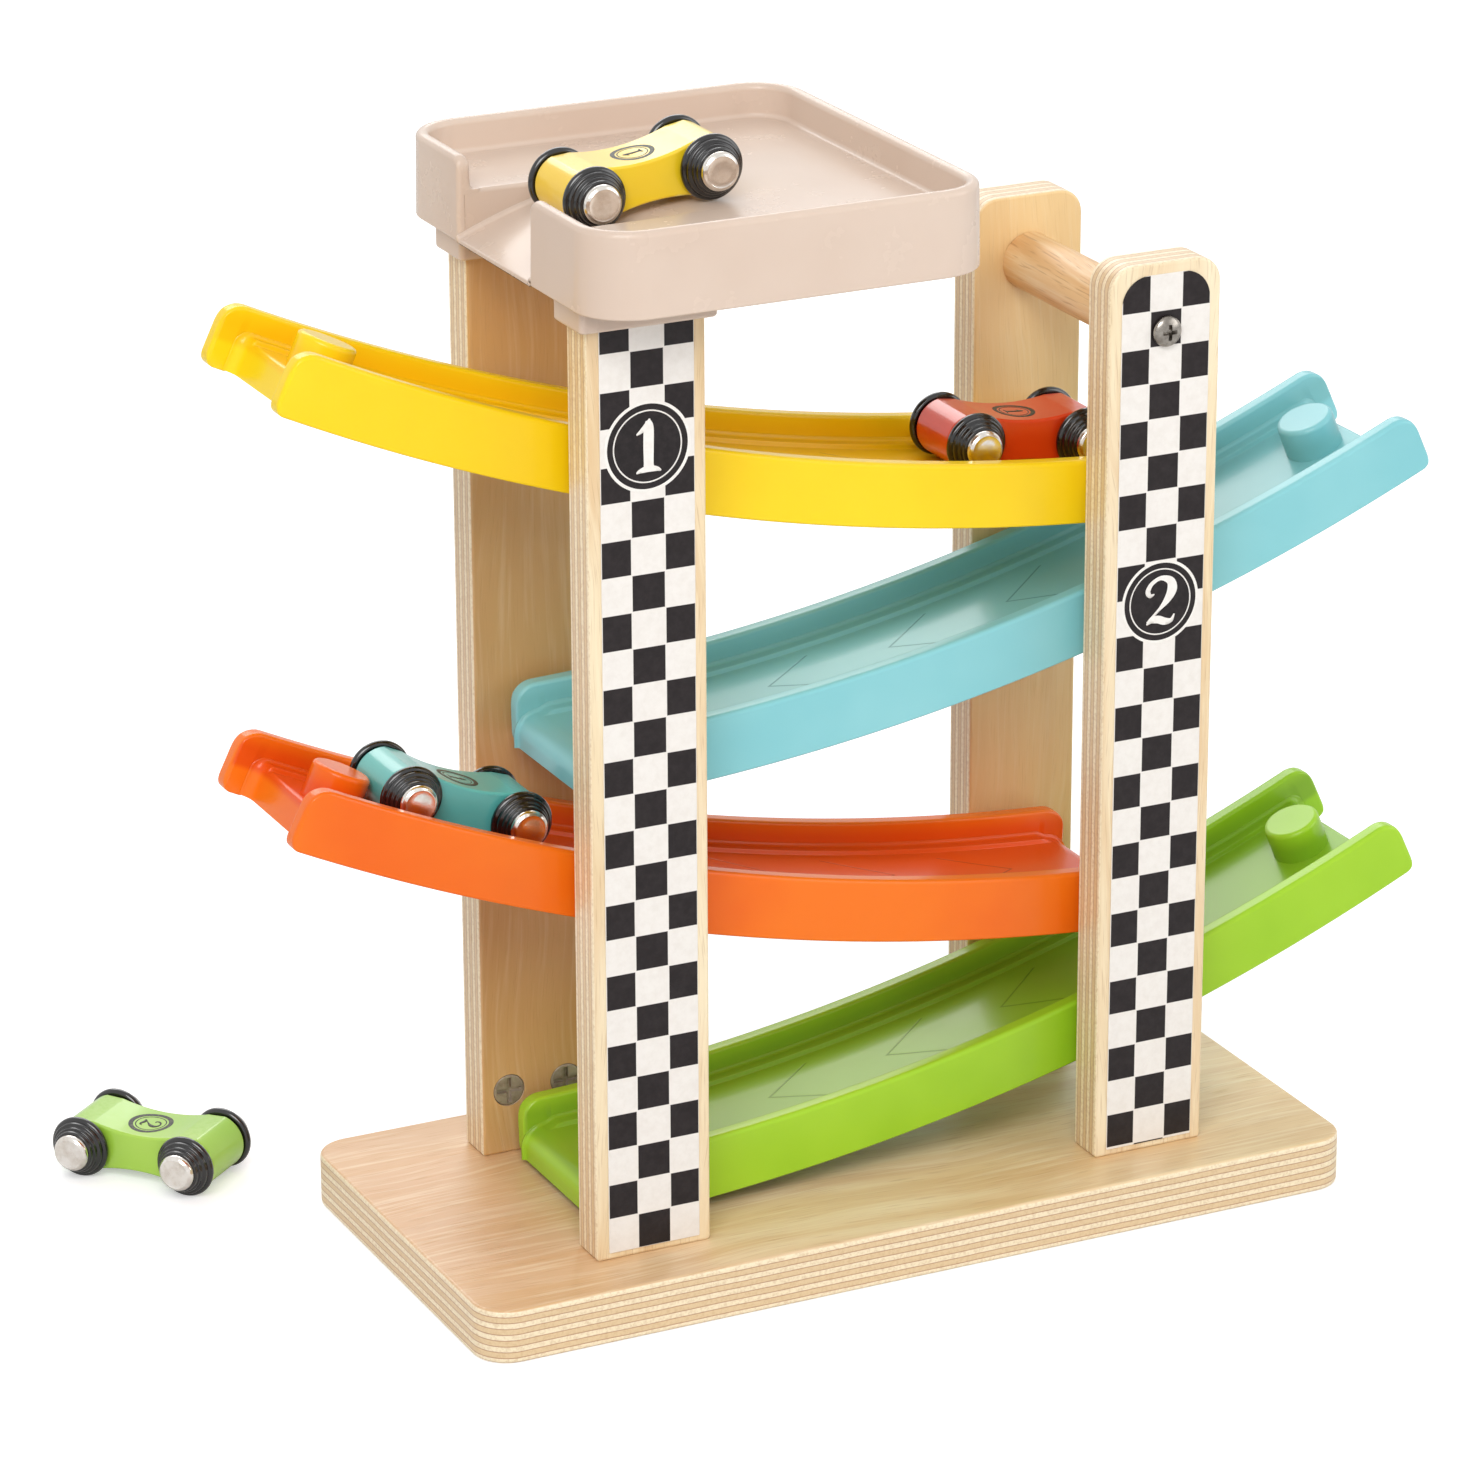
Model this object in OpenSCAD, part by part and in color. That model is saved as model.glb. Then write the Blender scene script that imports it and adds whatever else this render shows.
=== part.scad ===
// Click clack track toy: plywood posts hold four curved ramps and a car park tray, with four small cars.
// X runs along the base, Y away from the front and Z up. The origin is the centre of the base's underside.

/* [Base] */
// Length of the base board
base_length = 260; // [240:1:320]
// Width of the base board
base_width = 122; // [112:1:160]
// Thickness of the base board
base_thickness = 15; // [12:0.5:22]
// Radius of the base board's corners
base_corner = 10; // [4:0.5:20]

/* [Posts] */
// Thickness of the post boards
post_thickness = 12; // [11:0.5:16]
// Width of the post boards
post_width = 33; // [31:0.5:42]
// Clear distance between the front and the back posts
post_gap = 63; // [60:0.5:72]
// Place of the left posts' centre line along the base
left_post_x = -74; // [-82:0.5:-70]
// Place of the right posts' centre line along the base
right_post_x = 75.5; // [70:0.5:82]
// Height of the right posts above the yellow track's low end
right_post_rise = 76; // [70:1:104]
// Radius of the right posts' upper corners
post_corner = 7; // [2:0.5:12]

/* [Crossbar] */
// Diameter of the round crossbar between the right posts
bar_diameter = 16; // [12:0.5:20]
// Distance of the crossbar's axis below the top of the right posts
bar_drop = 18.5; // [16:0.5:24]
// Diameter of the crossbar screws' shanks
bar_screw_diameter = 4; // [3:0.1:5]
// Diameter of the crossbar screws' round heads
bar_screw_head = 8.3; // [7:0.1:10]
// Length of the crossbar screws' shanks
bar_screw_length = 32; // [24:1:40]

/* [Base joints] */
// Diameter of the cross-slotted barrel nuts
nut_diameter = 9; // [8:0.5:11]
// Length of the barrel nuts, from the post's inner face
nut_length = 10; // [8:0.5:10.5]
// Height of the barrel nuts' axis above the base
nut_height = 18.5; // [14:0.5:24]
// Distance between the two barrel nuts of a post
nut_spacing = 17; // [14:0.5:18]
// Diameter of the bolts that hold the posts on the base
bolt_diameter = 5; // [4:0.5:6]
// Diameter of those bolts' countersunk heads
bolt_head = 9.6; // [9:0.1:11]

/* [Tracks] */
// Width of a track over its side walls
track_width = 53; // [50:0.5:56]
// Thickness of a track's side walls
track_wall = 5; // [4:0.1:6]
// Radius of the track floor's long curve
floor_radius = 630; // [590:5:700]
// Length of a track along its floor, from the low end to the fork's tips
track_length = 257; // [250:0.5:270]
// Height of the side walls above the floor
wall_height = 8; // [6:0.5:12]
// Depth of a track below its floor
skirt_depth = 9.5; // [9.3:0.1:11]
// Thickness of the track's floor skin and skirts
track_skin = 2.2; // [1.6:0.1:3]
// Width of the raised ledge beside each wall
ledge_width = 4; // [2:0.1:4]
// Height of the raised ledge
ledge_height = 1.2; // [0.6:0.1:2]
// Length of the fork's arms past the floor's high end
fork_length = 8.5; // [8:0.5:14]
// Diameter of the round stop knob on the floor
knob_diameter = 16; // [12:0.5:18]
// Height of the stop knob above the floor
knob_height = 9.5; // [7:0.5:12]
// Distance from the knob's axis to the floor's high end
knob_setback = 11; // [10:0.5:16]
// Distance by which a track's low end passes its posts' centre line
low_overhang = 8.5; // [6:0.5:12]
// Height of the yellow track's low end above the base
yellow_height = 176; // [170:0.5:182]
// Height of the blue track's low end as a share of the yellow track's
blue_share = 0.69; // [0.66:0.005:0.73]
// Height of the orange track's low end as a share of the yellow track's
orange_share = 0.332; // [0.3:0.002:0.36]
// Height of the green track's low end above the base
green_height = 1.5; // [1:0.5:6]
// Slope of the yellow track at its low end, in degrees
yellow_slope = 2.5; // [1:0.1:3.5]
// Slope of the blue track at its low end, in degrees
blue_slope = 1; // [0:0.1:2.5]
// Slope of the orange track at its low end, in degrees
orange_slope = 3; // [1:0.1:3.5]
// Slope of the green track at its low end, in degrees
green_slope = 1.4; // [0:0.1:3]

/* [Tray] */
// Length of the tray
tray_length = 112; // [104:1:120]
// Width of the tray
tray_width = 126; // [116:1:140]
// Height of the tray's floor above the yellow track's low end
tray_rise = 99.5; // [94:0.5:109]
// Height of the rim above the tray's floor
rim_height = 9; // [6:0.5:16]
// Thickness of the rim
rim_wall = 4; // [3:0.5:6]
// Depth of the tray below its floor
tray_depth = 13.5; // [13.5:0.5:18]
// Thickness of the tray's floor and skirts
tray_skin = 2.5; // [2:0.1:3.5]
// Radius of the tray's corners
tray_corner = 15; // [10:0.5:22]
// Distance by which the tray passes the left posts' centre line on the left
tray_overhang = 22; // [20:0.5:24]
// Thickness of the collars round the left posts
collar_wall = 2.5; // [2:0.1:3.5]
// Length of the collars below the tray
collar_drop = 7; // [4:0.5:12]
// Width of the exit in the left rim
exit_width = 45; // [40:0.5:48]
// Offset of the exit's centre line towards the back
exit_offset = 1; // [0:0.5:4]
// Radius of the exit ramp's curve
ramp_radius = 150; // [148:1:180]
// Horizontal length of the exit ramp
ramp_length = 60.5; // [54:0.5:61]

/* [Stickers] */
// Width of the chequered stickers
sticker_width = 26.3; // [20:0.1:30]
// Thickness of the stickers
sticker_thickness = 0.3; // [0.1:0.1:0.6]
// Bare wood left below a sticker
sticker_foot = 2; // [0:0.5:8]
// Bare wood left above the right sticker
sticker_head = 3; // [2:0.5:6]
// Radius of the right sticker's upper corners
sticker_corner = 8; // [2:0.5:9]

/* [Cars] */
// Distance between a car's two axles
wheelbase = 33.2; // [31:0.1:36]
// Width of a car's wooden body
car_width = 18; // [14:0.5:19]
// Radius of the body's round ends
body_end_radius = 7.8; // [6.5:0.1:8.2]
// Height of the body at its waist
body_waist = 11; // [8:0.1:13]
// Diameter of the wheels
wheel_diameter = 17.4; // [17:0.1:19]
// Thickness of the wheels
wheel_thickness = 5.8; // [4:0.1:6]
// Diameter of the chrome hub caps
cap_diameter = 10.5; // [8:0.1:11]
// Height of a hub cap outside its wheel
cap_height = 2; // [1.4:0.1:2.2]
// Diameter of the steel axles
axle_diameter = 3; // [2:0.1:4]
// Distance of the red car's centre from its track's low end
red_car_place = 31; // [28:0.5:180]
// Angle of the yellow car down the exit ramp, in degrees
yellow_car_angle = 8.1; // [7.5:0.1:9.5]
// Offset of the yellow car from the exit's middle, towards the front
yellow_car_offset = 4; // [0:0.5:4]
// Place of the green car along the base, beside the toy
green_car_x = -163.5; // [-220:0.5:-158]
// Place of the green car behind the base's middle
green_car_y = 95; // [90:0.5:130]
// Direction that the green car points in, in degrees
green_car_heading = -50; // [-60:1:0]

/* [Fits] */
// Clearance between a collar and its post on each side
collar_clearance = 0.1; // [0.05:0.05:0.4]
// Radial clearance of an axle in its wooden body
axle_clearance = 0.05; // [0.02:0.01:0.1]
// Radial clearance of a bolt or screw in its passing hole
bolt_clearance = 0.1; // [0.05:0.05:0.4]
// Gap between a wheel's inner face and the body
wheel_gap = 0.4; // [0.2:0.1:0.8]
// Gap left under rolling wheels and behind a resting car
roll_gap = 0.3; // [0.2:0.05:0.5]

/* [Hidden] */
$fn = 96;

// How far every cutting solid runs past the face that it cuts
overrun = 1;

// Heights above the surface that the base stands on
tray_floor_z = base_thickness + yellow_height + tray_rise;
tray_bottom_z = tray_floor_z - tray_depth;
left_post_top = tray_floor_z - tray_skin;
right_post_top = base_thickness + yellow_height + right_post_rise;
bar_z = right_post_top - bar_drop;
nut_z = base_thickness + nut_height;

// Faces of the posts, measured from the middle of the toy
post_inner = post_gap / 2;
post_outer = post_inner + post_thickness;

// The four tracks from the top down: side of the high end, low end's height and slope
YELLOW = 0;
BLUE = 1;
ORANGE = 2;
GREEN = 3;
high_sides = [-1, 1, -1, 1];
low_heights = [yellow_height, yellow_height * blue_share, yellow_height * orange_share, green_height];
low_slopes = [yellow_slope, blue_slope, orange_slope, green_slope];

// Track screws: countersunk in the posts, driven into round bosses under the track's floor
screw_radius = 1.75;
screw_head_radius = 3.5;
screw_head_depth = screw_head_radius - screw_radius;
boss_radius = 4;
boss_depth = skirt_depth / 2;
boss_reach = 9;
screw_bite = 7;

// Ribs under the tracks and the tray leave pockets no wider than this
rib = 1.6;
pocket_pitch = 27;

// Rounded ends of the tracks' walls and the lip at the low end
wall_end_top = 6;
wall_end_bottom = 3;
lip_radius = 6;

// Shares of a wheel's radius and thickness at its steps, from the tyre to the hub
step_radius_shares = [1, 0.87, 0.76, 0.68];
step_depth_shares = [0.4, 0.6, 0.8, 1];

// Heads of the crossbar screws, slots of the barrel nuts, and the bolts' length past the nuts
bar_head_height = bar_screw_head / 3.2;
slot_depth = nut_diameter / 9;
slot_width = nut_diameter / 6;
bolt_end = nut_diameter / 2 + bolt_diameter / 2;
bolt_head_depth = (bolt_head - bolt_diameter) / 2;

// Rounded rectangle round the origin
module rounded_rect(length, width, corner) {
    square([length - 2 * corner, width], center = true);
    square([length, width - 2 * corner], center = true);
    for (x = [-1, 1], y = [-1, 1])
        translate([x * (length / 2 - corner), y * (width / 2 - corner)])
            circle(r = corner);
}

// Corner waste: what a round of this radius takes off a square corner at the origin, towards -X and -Y
module corner_waste(radius) {
    difference() {
        translate([-radius, -radius])
            square(radius + overrun);
        translate([-radius, -radius])
            circle(r = radius);
    }
}

// Cylinder along Y from one face to another
module y_cylinder(radius, from, to) {
    translate([0, to, 0])
        rotate([90, 0, 0])
            cylinder(r = radius, h = to - from);
}

// Cross slots cut into a round end that faces -Y at the origin
module cross_slot(span, width, depth) {
    for (turn = [0, 90])
        rotate([0, turn, 0])
            translate([-span / 2, -overrun, -width / 2])
                cube([span, depth + overrun, width]);
}

// Tracks: the long curve's centre lies above the low end, and s is a distance along the floor
function post_x(left) = left ? left_post_x : right_post_x;
function low_x(i) = high_sides[i] > 0
    ? left_post_x - low_overhang
    : right_post_x + low_overhang;
function centre_x(i) = low_x(i) - high_sides[i] * floor_radius * sin(low_slopes[i]);
function centre_z(i) = base_thickness + low_heights[i] + skirt_depth
    + (floor_radius) * cos(low_slopes[i]);
function track_angle(i, s) = low_slopes[i] + s / floor_radius * 180 / PI;
function boss_angle(i, x) = asin(abs(x - centre_x(i)) / (floor_radius + boss_depth));
function boss_z(i, x) = centre_z(i) - (floor_radius + boss_depth) * cos(boss_angle(i, x));

// Places children on a track: X uphill along the floor, Z away from it
module on_track(i, s) {
    translate([centre_x(i), 0, centre_z(i)])
        mirror([high_sides[i] > 0 ? 0 : 1, 0, 0])
            rotate([0, -track_angle(i, s), 0])
                translate([0, 0, -floor_radius])
                    children();
}

// Sweeps a flat section along a track; the section's X is the distance from the curve's centre
module sweep(i, from, to) {
    translate([centre_x(i), 0, centre_z(i)])
        mirror([high_sides[i] > 0 ? 0 : 1, 0, 0])
            rotate([90, 0, 0])
                rotate([0, 0, track_angle(i, from) - 90])
                    rotate_extrude(angle = (to - from) / floor_radius * 180 / PI, $fn = 360)
                        children();
}

module section_box(from, to, side_from, side_to) {
    translate([floor_radius + from, side_from])
        square([to - from, side_to - side_from]);
}

module wall_section() {
    half = track_width / 2;
    for (side = [0, 1])
        mirror([0, side])
            section_box(-wall_height, skirt_depth, half - track_wall, half);
}

// The floor with its ledges reaches half way into the walls
module floor_section() {
    half = track_width / 2;
    into_wall = half - track_wall / 2;
    section_box(0, skirt_depth, -into_wall, into_wall);
    for (side = [0, 1])
        mirror([0, side])
            section_box(-ledge_height, skirt_depth, half - track_wall - ledge_width, into_wall);
}

module track_pockets(i) {
    half = track_width / 2;
    first = lip_radius + track_skin;
    last = track_length - fork_length - track_skin;
    count = ceil((last - first) / pocket_pitch);
    pitch = (last - first) / count;
    for (n = [0:count - 1])
        sweep(i, first + n * pitch + rib / 2, first + (n + 1) * pitch - rib / 2)
            for (side = [0, 1])
                mirror([0, side])
                    section_box(track_skin, skirt_depth + overrun, rib / 2, half - track_skin);
}

// Takes the corners off the walls' ends: s is the end, and turn is 0 at the high end, 180 at the low end
module wall_end_waste(i, s, turn) {
    on_track(i, s)
        rotate([0, 0, turn])
            rotate([90, 0, 0])
                linear_extrude(height = track_width + 2 * overrun, center = true) {
                    translate([0, wall_height])
                        corner_waste(wall_end_top);
                    translate([0, -skirt_depth])
                        mirror([0, 1])
                            corner_waste(wall_end_bottom);
                }
}

// The floor's low end turns down to the lower edge between the walls
module lip_waste(i) {
    inner = track_width / 2 - track_wall;
    on_track(i, 0)
        rotate([90, 0, 0])
            linear_extrude(height = 2 * inner, center = true)
                difference() {
                    translate([-overrun, -skirt_depth - overrun])
                        square([lip_radius + overrun, skirt_depth + ledge_height + 2 * overrun]);
                    translate([lip_radius, -lip_radius])
                        circle(r = lip_radius);
                    translate([0, -skirt_depth - 2 * overrun])
                        square([lip_radius + overrun, skirt_depth - lip_radius + 2 * overrun]);
                    translate([lip_radius, -skirt_depth])
                        square(skirt_depth);
                }
}

// Places children at a track's boss on a post, on the middle plane
module at_boss(i, left) {
    translate([post_x(left), 0, boss_z(i, post_x(left))])
        children();
}

module track(i) {
    half = track_width / 2;
    difference() {
        union() {
            difference() {
                union() {
                    sweep(i, 0, track_length)
                        wall_section();
                    sweep(i, 0, track_length - fork_length)
                        floor_section();
                }
                track_pockets(i);
                lip_waste(i);
                wall_end_waste(i, track_length, 0);
                wall_end_waste(i, 0, 180);
            }
            on_track(i, track_length - fork_length - knob_setback) {
                translate([0, 0, -track_skin / 2])
                    cylinder(d = knob_diameter, h = knob_height + track_skin / 2 - ledge_height);
                translate([0, 0, knob_height - ledge_height])
                    cylinder(d1 = knob_diameter, d2 = knob_diameter - 2 * ledge_height, h = ledge_height);
            }
            for (left = [true, false], side = [0, 1])
                at_boss(i, left)
                    mirror([0, side, 0])
                        y_cylinder(boss_radius, half - boss_reach, post_inner);
        }
        for (left = [true, false], side = [0, 1])
            at_boss(i, left)
                mirror([0, side, 0])
                    y_cylinder(screw_radius, post_inner - screw_bite, post_inner + overrun);
    }
}

// One screw from a post's outer face at +Y into a boss
module track_screw() {
    y_cylinder(screw_radius, post_inner - screw_bite, post_outer - screw_head_depth / 2);
    translate([0, post_outer, 0])
        rotate([90, 0, 0])
            cylinder(r1 = screw_head_radius, r2 = screw_radius, h = screw_head_depth);
}

module track_screws() {
    color("silver")
        for (i = [YELLOW:GREEN], left = [true, false], side = [0, 1])
            at_boss(i, left)
                mirror([0, side, 0])
                    track_screw();
}

// Waste for the track screws in a post whose outer face is at +Y
module track_screw_waste(left) {
    for (i = [YELLOW:GREEN])
        at_boss(i, left) {
            y_cylinder(screw_radius + bolt_clearance, post_inner - overrun, post_outer + overrun);
            translate([0, post_outer, 0])
                rotate([90, 0, 0])
                    cylinder(r1 = screw_head_radius, r2 = screw_radius, h = screw_head_depth);
        }
}

module at_nuts() {
    for (x = [-1, 1])
        translate([x * nut_spacing / 2, 0, 0])
            children();
}

// A post with its outer face at +Y; the wood's joints are cut from it
module post(left) {
    top = left ? left_post_top : right_post_top;
    corner = left ? 0 : post_corner;
    color("burlywood")
        difference() {
            translate([post_x(left), post_outer, base_thickness])
                rotate([90, 0, 0])
                    linear_extrude(height = post_thickness)
                        post_outline(top - base_thickness, corner);
            track_screw_waste(left);
            translate([post_x(left), 0, 0])
                at_nuts() {
                    translate([0, 0, nut_z])
                        y_cylinder(nut_diameter / 2, post_inner - overrun, post_inner + nut_length);
                    translate([0, post_inner + post_thickness / 2, base_thickness - overrun])
                        cylinder(r = bolt_diameter / 2 + bolt_clearance,
                            h = nut_height + bolt_end + overrun + bolt_clearance);
                }
            if (!left)
                translate([post_x(left), 0, bar_z])
                    y_cylinder(bar_screw_diameter / 2 + bolt_clearance, post_inner - overrun,
                        post_outer + overrun);
        }
}

module post_outline(height, corner) {
    translate([-post_width / 2, 0])
        square([post_width, height - corner]);
    if (corner > 0) {
        translate([corner - post_width / 2, height - corner])
            square([post_width - 2 * corner, corner]);
        for (x = [-1, 1])
            translate([x * (post_width / 2 - corner), height - corner])
                circle(r = corner);
    }
}

module front_left_post() { mirror([0, 1, 0]) post(true); }
module front_right_post() { mirror([0, 1, 0]) post(false); }
module back_left_post() { post(true); }
module back_right_post() { post(false); }

// Places children at the foot of each post, at the middle of its thickness
module at_feet() {
    for (left = [true, false], side = [-1, 1])
        translate([post_x(left), side * (post_inner + post_thickness / 2), 0])
            at_nuts()
                children();
}

module base() {
    color("burlywood")
        difference() {
            linear_extrude(height = base_thickness)
                rounded_rect(base_length, base_width, base_corner);
            at_feet() {
                translate([0, 0, -overrun])
                    cylinder(r = bolt_diameter / 2 + bolt_clearance, h = base_thickness + 2 * overrun);
                cylinder(d1 = bolt_head, d2 = bolt_diameter, h = bolt_head_depth);
            }
        }
}

module base_bolts() {
    color("silver")
        at_feet()
            difference() {
                union() {
                    cylinder(d1 = bolt_head, d2 = bolt_diameter, h = bolt_head_depth);
                    translate([0, 0, bolt_head_depth / 2])
                        cylinder(d = bolt_diameter, h = nut_z + bolt_end - bolt_head_depth / 2);
                }
                rotate([-90, 0, 0])
                    cross_slot(bolt_head / 2, slot_width, bolt_head_depth / 2);
            }
}

module barrel_nuts() {
    color("silver")
        for (left = [true, false], side = [0, 1])
            translate([post_x(left), 0, nut_z])
                mirror([0, side, 0])
                    at_nuts()
                        difference() {
                            y_cylinder(nut_diameter / 2, post_inner, post_inner + nut_length);
                            translate([0, post_inner, 0])
                                cross_slot(nut_diameter * 0.8, slot_width, slot_depth);
                            translate([0, post_inner + post_thickness / 2, -nut_diameter])
                                cylinder(d = bolt_diameter, h = 2 * nut_diameter);
                        }
}

module crossbar() {
    pilot = bar_screw_length - post_thickness;
    color("burlywood")
        translate([right_post_x, 0, bar_z])
            difference() {
                y_cylinder(bar_diameter / 2, -post_inner, post_inner);
                for (side = [0, 1])
                    mirror([0, side, 0])
                        y_cylinder(bar_screw_diameter / 2, post_inner - pilot, post_inner + overrun);
            }
}

module crossbar_screws() {
    head_radius = bar_screw_head / 2;
    color("silver")
        translate([right_post_x, 0, bar_z])
            for (side = [0, 1])
                mirror([0, side, 0]) {
                    face = post_outer + (side == 1 ? sticker_thickness : 0);
                    y_cylinder(bar_screw_diameter / 2, post_outer - bar_screw_length, face + overrun);
                    difference() {
                        y_cylinder(head_radius, face, face + bar_head_height);
                        translate([0, face + bar_head_height, 0])
                            mirror([0, 1, 0])
                                cross_slot(bar_screw_head / 2, slot_width, bar_head_height / 2);
                    }
                }
}

// Stickers on the front faces of the front posts
module sticker(left, top) {
    foot = base_thickness + sticker_foot;
    height = top - foot;
    color("white")
        translate([post_x(left), -post_outer, foot])
            rotate([90, 0, 0])
                linear_extrude(height = sticker_thickness)
                    difference() {
                        translate([-sticker_width / 2, 0])
                            square([sticker_width, height]);
                        if (!left) {
                            for (side = [0, 1])
                                mirror([side, 0])
                                    translate([sticker_width / 2, height])
                                        corner_waste(sticker_corner);
                            translate([0, bar_z - foot])
                                circle(r = bar_screw_diameter / 2 + bolt_clearance);
                        }
                    }
}

module left_sticker() { sticker(true, tray_bottom_z - collar_drop - collar_clearance); }
module right_sticker() { sticker(false, right_post_top - sticker_head); }

// Tray: a rimmed moulding open from below, with sockets that drop over the left posts
tray_left = left_post_x - tray_overhang;
ramp_start_x = tray_left + ramp_length;
ramp_centre_z = tray_floor_z - ramp_radius;

module tray_outline(inset) {
    translate([tray_left + tray_length / 2, 0])
        rounded_rect(tray_length - 2 * inset, tray_width - 2 * inset, tray_corner - inset);
}

// Square pockets under the tray, between ribs
module tray_pockets() {
    inner_length = tray_length - 2 * tray_skin;
    inner_width = tray_width - 2 * tray_skin;
    columns = ceil(inner_length / pocket_pitch);
    rows = ceil(inner_width / pocket_pitch);
    intersection() {
        translate([tray_left + tray_skin, -inner_width / 2])
            for (column = [0:columns - 1], row = [0:rows - 1])
                translate([column * inner_length / columns + rib / 2, row * inner_width / rows + rib / 2])
                    square([inner_length / columns - rib, inner_width / rows - rib]);
        tray_outline(tray_skin);
    }
}

// The ramp's curve as a solid of the given radius, as wide as the exit
module ramp_round(radius, width) {
    translate([ramp_start_x, exit_offset, ramp_centre_z])
        y_cylinder(radius, -width / 2, width / 2, $fn = 360);
}

module exit_waste() {
    reach = tray_depth + rim_height + 2 * overrun;
    difference() {
        translate([tray_left - overrun, exit_offset - exit_width / 2, tray_bottom_z])
            cube([ramp_length + overrun, exit_width, reach]);
        ramp_round(ramp_radius, exit_width + overrun);
    }
}

// Four hollows under the ramp, with ribs between them
module ramp_hollows() {
    cell_length = (ramp_length - tray_skin) / 2;
    cell_width = exit_width / 2;
    intersection() {
        ramp_round(ramp_radius - tray_skin, exit_width);
        for (column = [0, 1], row = [0, 1])
            translate([tray_left + tray_skin + column * cell_length,
                exit_offset - cell_width + row * cell_width + (row == 0 ? 0 : rib / 2),
                tray_bottom_z - overrun])
                cube([cell_length - rib / 2, cell_width - rib / 2, tray_depth - tray_skin + overrun]);
    }
}

module tray() {
    socket_length = post_width + 2 * (collar_wall + collar_clearance);
    socket_width = post_thickness + 2 * (collar_wall + collar_clearance);
    socket_bottom = tray_bottom_z - collar_drop;
    color("thistle")
        difference() {
            union() {
                difference() {
                    translate([0, 0, tray_bottom_z])
                        linear_extrude(height = tray_depth + rim_height)
                            tray_outline(0);
                    translate([0, 0, tray_floor_z])
                        linear_extrude(height = rim_height + overrun)
                            tray_outline(rim_wall);
                    translate([0, 0, tray_bottom_z - overrun])
                        linear_extrude(height = tray_depth - tray_skin + overrun)
                            tray_pockets();
                }
                translate([tray_left + tray_skin / 2, exit_offset - exit_width / 2 - tray_skin, tray_bottom_z])
                    cube([ramp_length, exit_width + 2 * tray_skin, tray_depth - tray_skin / 2]);
                for (side = [-1, 1])
                    translate([left_post_x - socket_length / 2,
                        side * (post_inner + post_thickness / 2) - socket_width / 2, socket_bottom])
                        cube([socket_length, socket_width, left_post_top - socket_bottom + tray_skin / 2]);
            }
            exit_waste();
            ramp_hollows();
            for (side = [-1, 1])
                translate([left_post_x - post_width / 2 - collar_clearance,
                    side * (post_inner + post_thickness / 2) - post_thickness / 2 - collar_clearance,
                    socket_bottom - overrun])
                    cube([post_width + 2 * collar_clearance, post_thickness + 2 * collar_clearance,
                        left_post_top - socket_bottom + overrun]);
        }
}

module yellow_track() { color("gold") track(YELLOW); }
module blue_track() { color("skyblue") track(BLUE); }
module orange_track() { color("orangered") track(ORANGE); }
module green_track() { color("yellowgreen") track(GREEN); }

// Cars: each stands in its own frame, nose towards +X, left side towards +Y, origin between the axles
YELLOW_CAR = 0;
RED_CAR = 1;
TEAL_CAR = 2;
GREEN_CAR = 3;
car_colours = ["gold", "tomato", "mediumturquoise", "yellowgreen"];
FRONT = 1;
REAR = -1;
LEFT = 1;
RIGHT = -1;
wheel_radius = wheel_diameter / 2;
wheel_inner = car_width / 2 + wheel_gap;
wheel_outer = wheel_inner + wheel_thickness;
axle_half = wheel_outer + cap_height / 2;
half_base = wheelbase / 2;
track_axle_radius = floor_radius - wheel_radius - roll_gap;
ramp_axle_radius = ramp_radius + wheel_radius + roll_gap;
knob_place = track_length - fork_length - knob_setback;
knob_reach = knob_diameter / 2 + roll_gap + body_end_radius;
teal_car_place = knob_place - floor_length(knob_reach) - floor_length(half_base);

// Distance along the floor that answers to a straight distance at the axles' height
function floor_length(distance) = asin(distance / track_axle_radius) * PI / 180 * floor_radius;

// Places a car on a track with its middle at s, nose downhill
module on_track_car(i, s) {
    middle_radius = sqrt(pow(track_axle_radius, 2) - pow(half_base, 2));
    slope = track_angle(i, s);
    translate([centre_x(i) + high_sides[i] * middle_radius * sin(slope), 0,
        centre_z(i) - middle_radius * cos(slope)])
        rotate([0, 0, high_sides[i] > 0 ? 180 : 0])
            rotate([0, slope, 0])
                children();
}

// Places a car on the exit ramp, nose towards the exit
module on_ramp_car(angle) {
    middle_radius = sqrt(pow(ramp_axle_radius, 2) - pow(half_base, 2));
    translate([ramp_start_x - middle_radius * sin(angle), exit_offset - yellow_car_offset,
        ramp_centre_z + middle_radius * cos(angle)])
        rotate([0, 0, 180])
            rotate([0, angle, 0])
                children();
}

module place_car(car) {
    if (car == YELLOW_CAR)
        on_ramp_car(yellow_car_angle)
            children();
    if (car == RED_CAR)
        on_track_car(YELLOW, red_car_place)
            children();
    if (car == TEAL_CAR)
        on_track_car(ORANGE, teal_car_place)
            children();
    if (car == GREEN_CAR)
        translate([green_car_x, green_car_y, wheel_radius])
            rotate([0, 0, green_car_heading])
                children();
}

// Side view of a car body: two round ends and a waist drawn in by large arcs that meet them smoothly
module body_outline() {
    waist = body_waist / 2;
    arc = (pow(half_base, 2) + pow(waist, 2) - pow(body_end_radius, 2)) / (2 * (body_end_radius - waist));
    meet = half_base * arc / (arc + body_end_radius);
    meet_height = (arc + waist) * body_end_radius / (arc + body_end_radius);
    difference() {
        union() {
            square([2 * meet, 2 * meet_height], center = true);
            for (x = [-1, 1])
                translate([x * half_base, 0])
                    circle(r = body_end_radius);
        }
        for (side = [-1, 1])
            translate([0, side * (arc + waist)])
                circle(r = arc, $fn = 360);
    }
}

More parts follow.
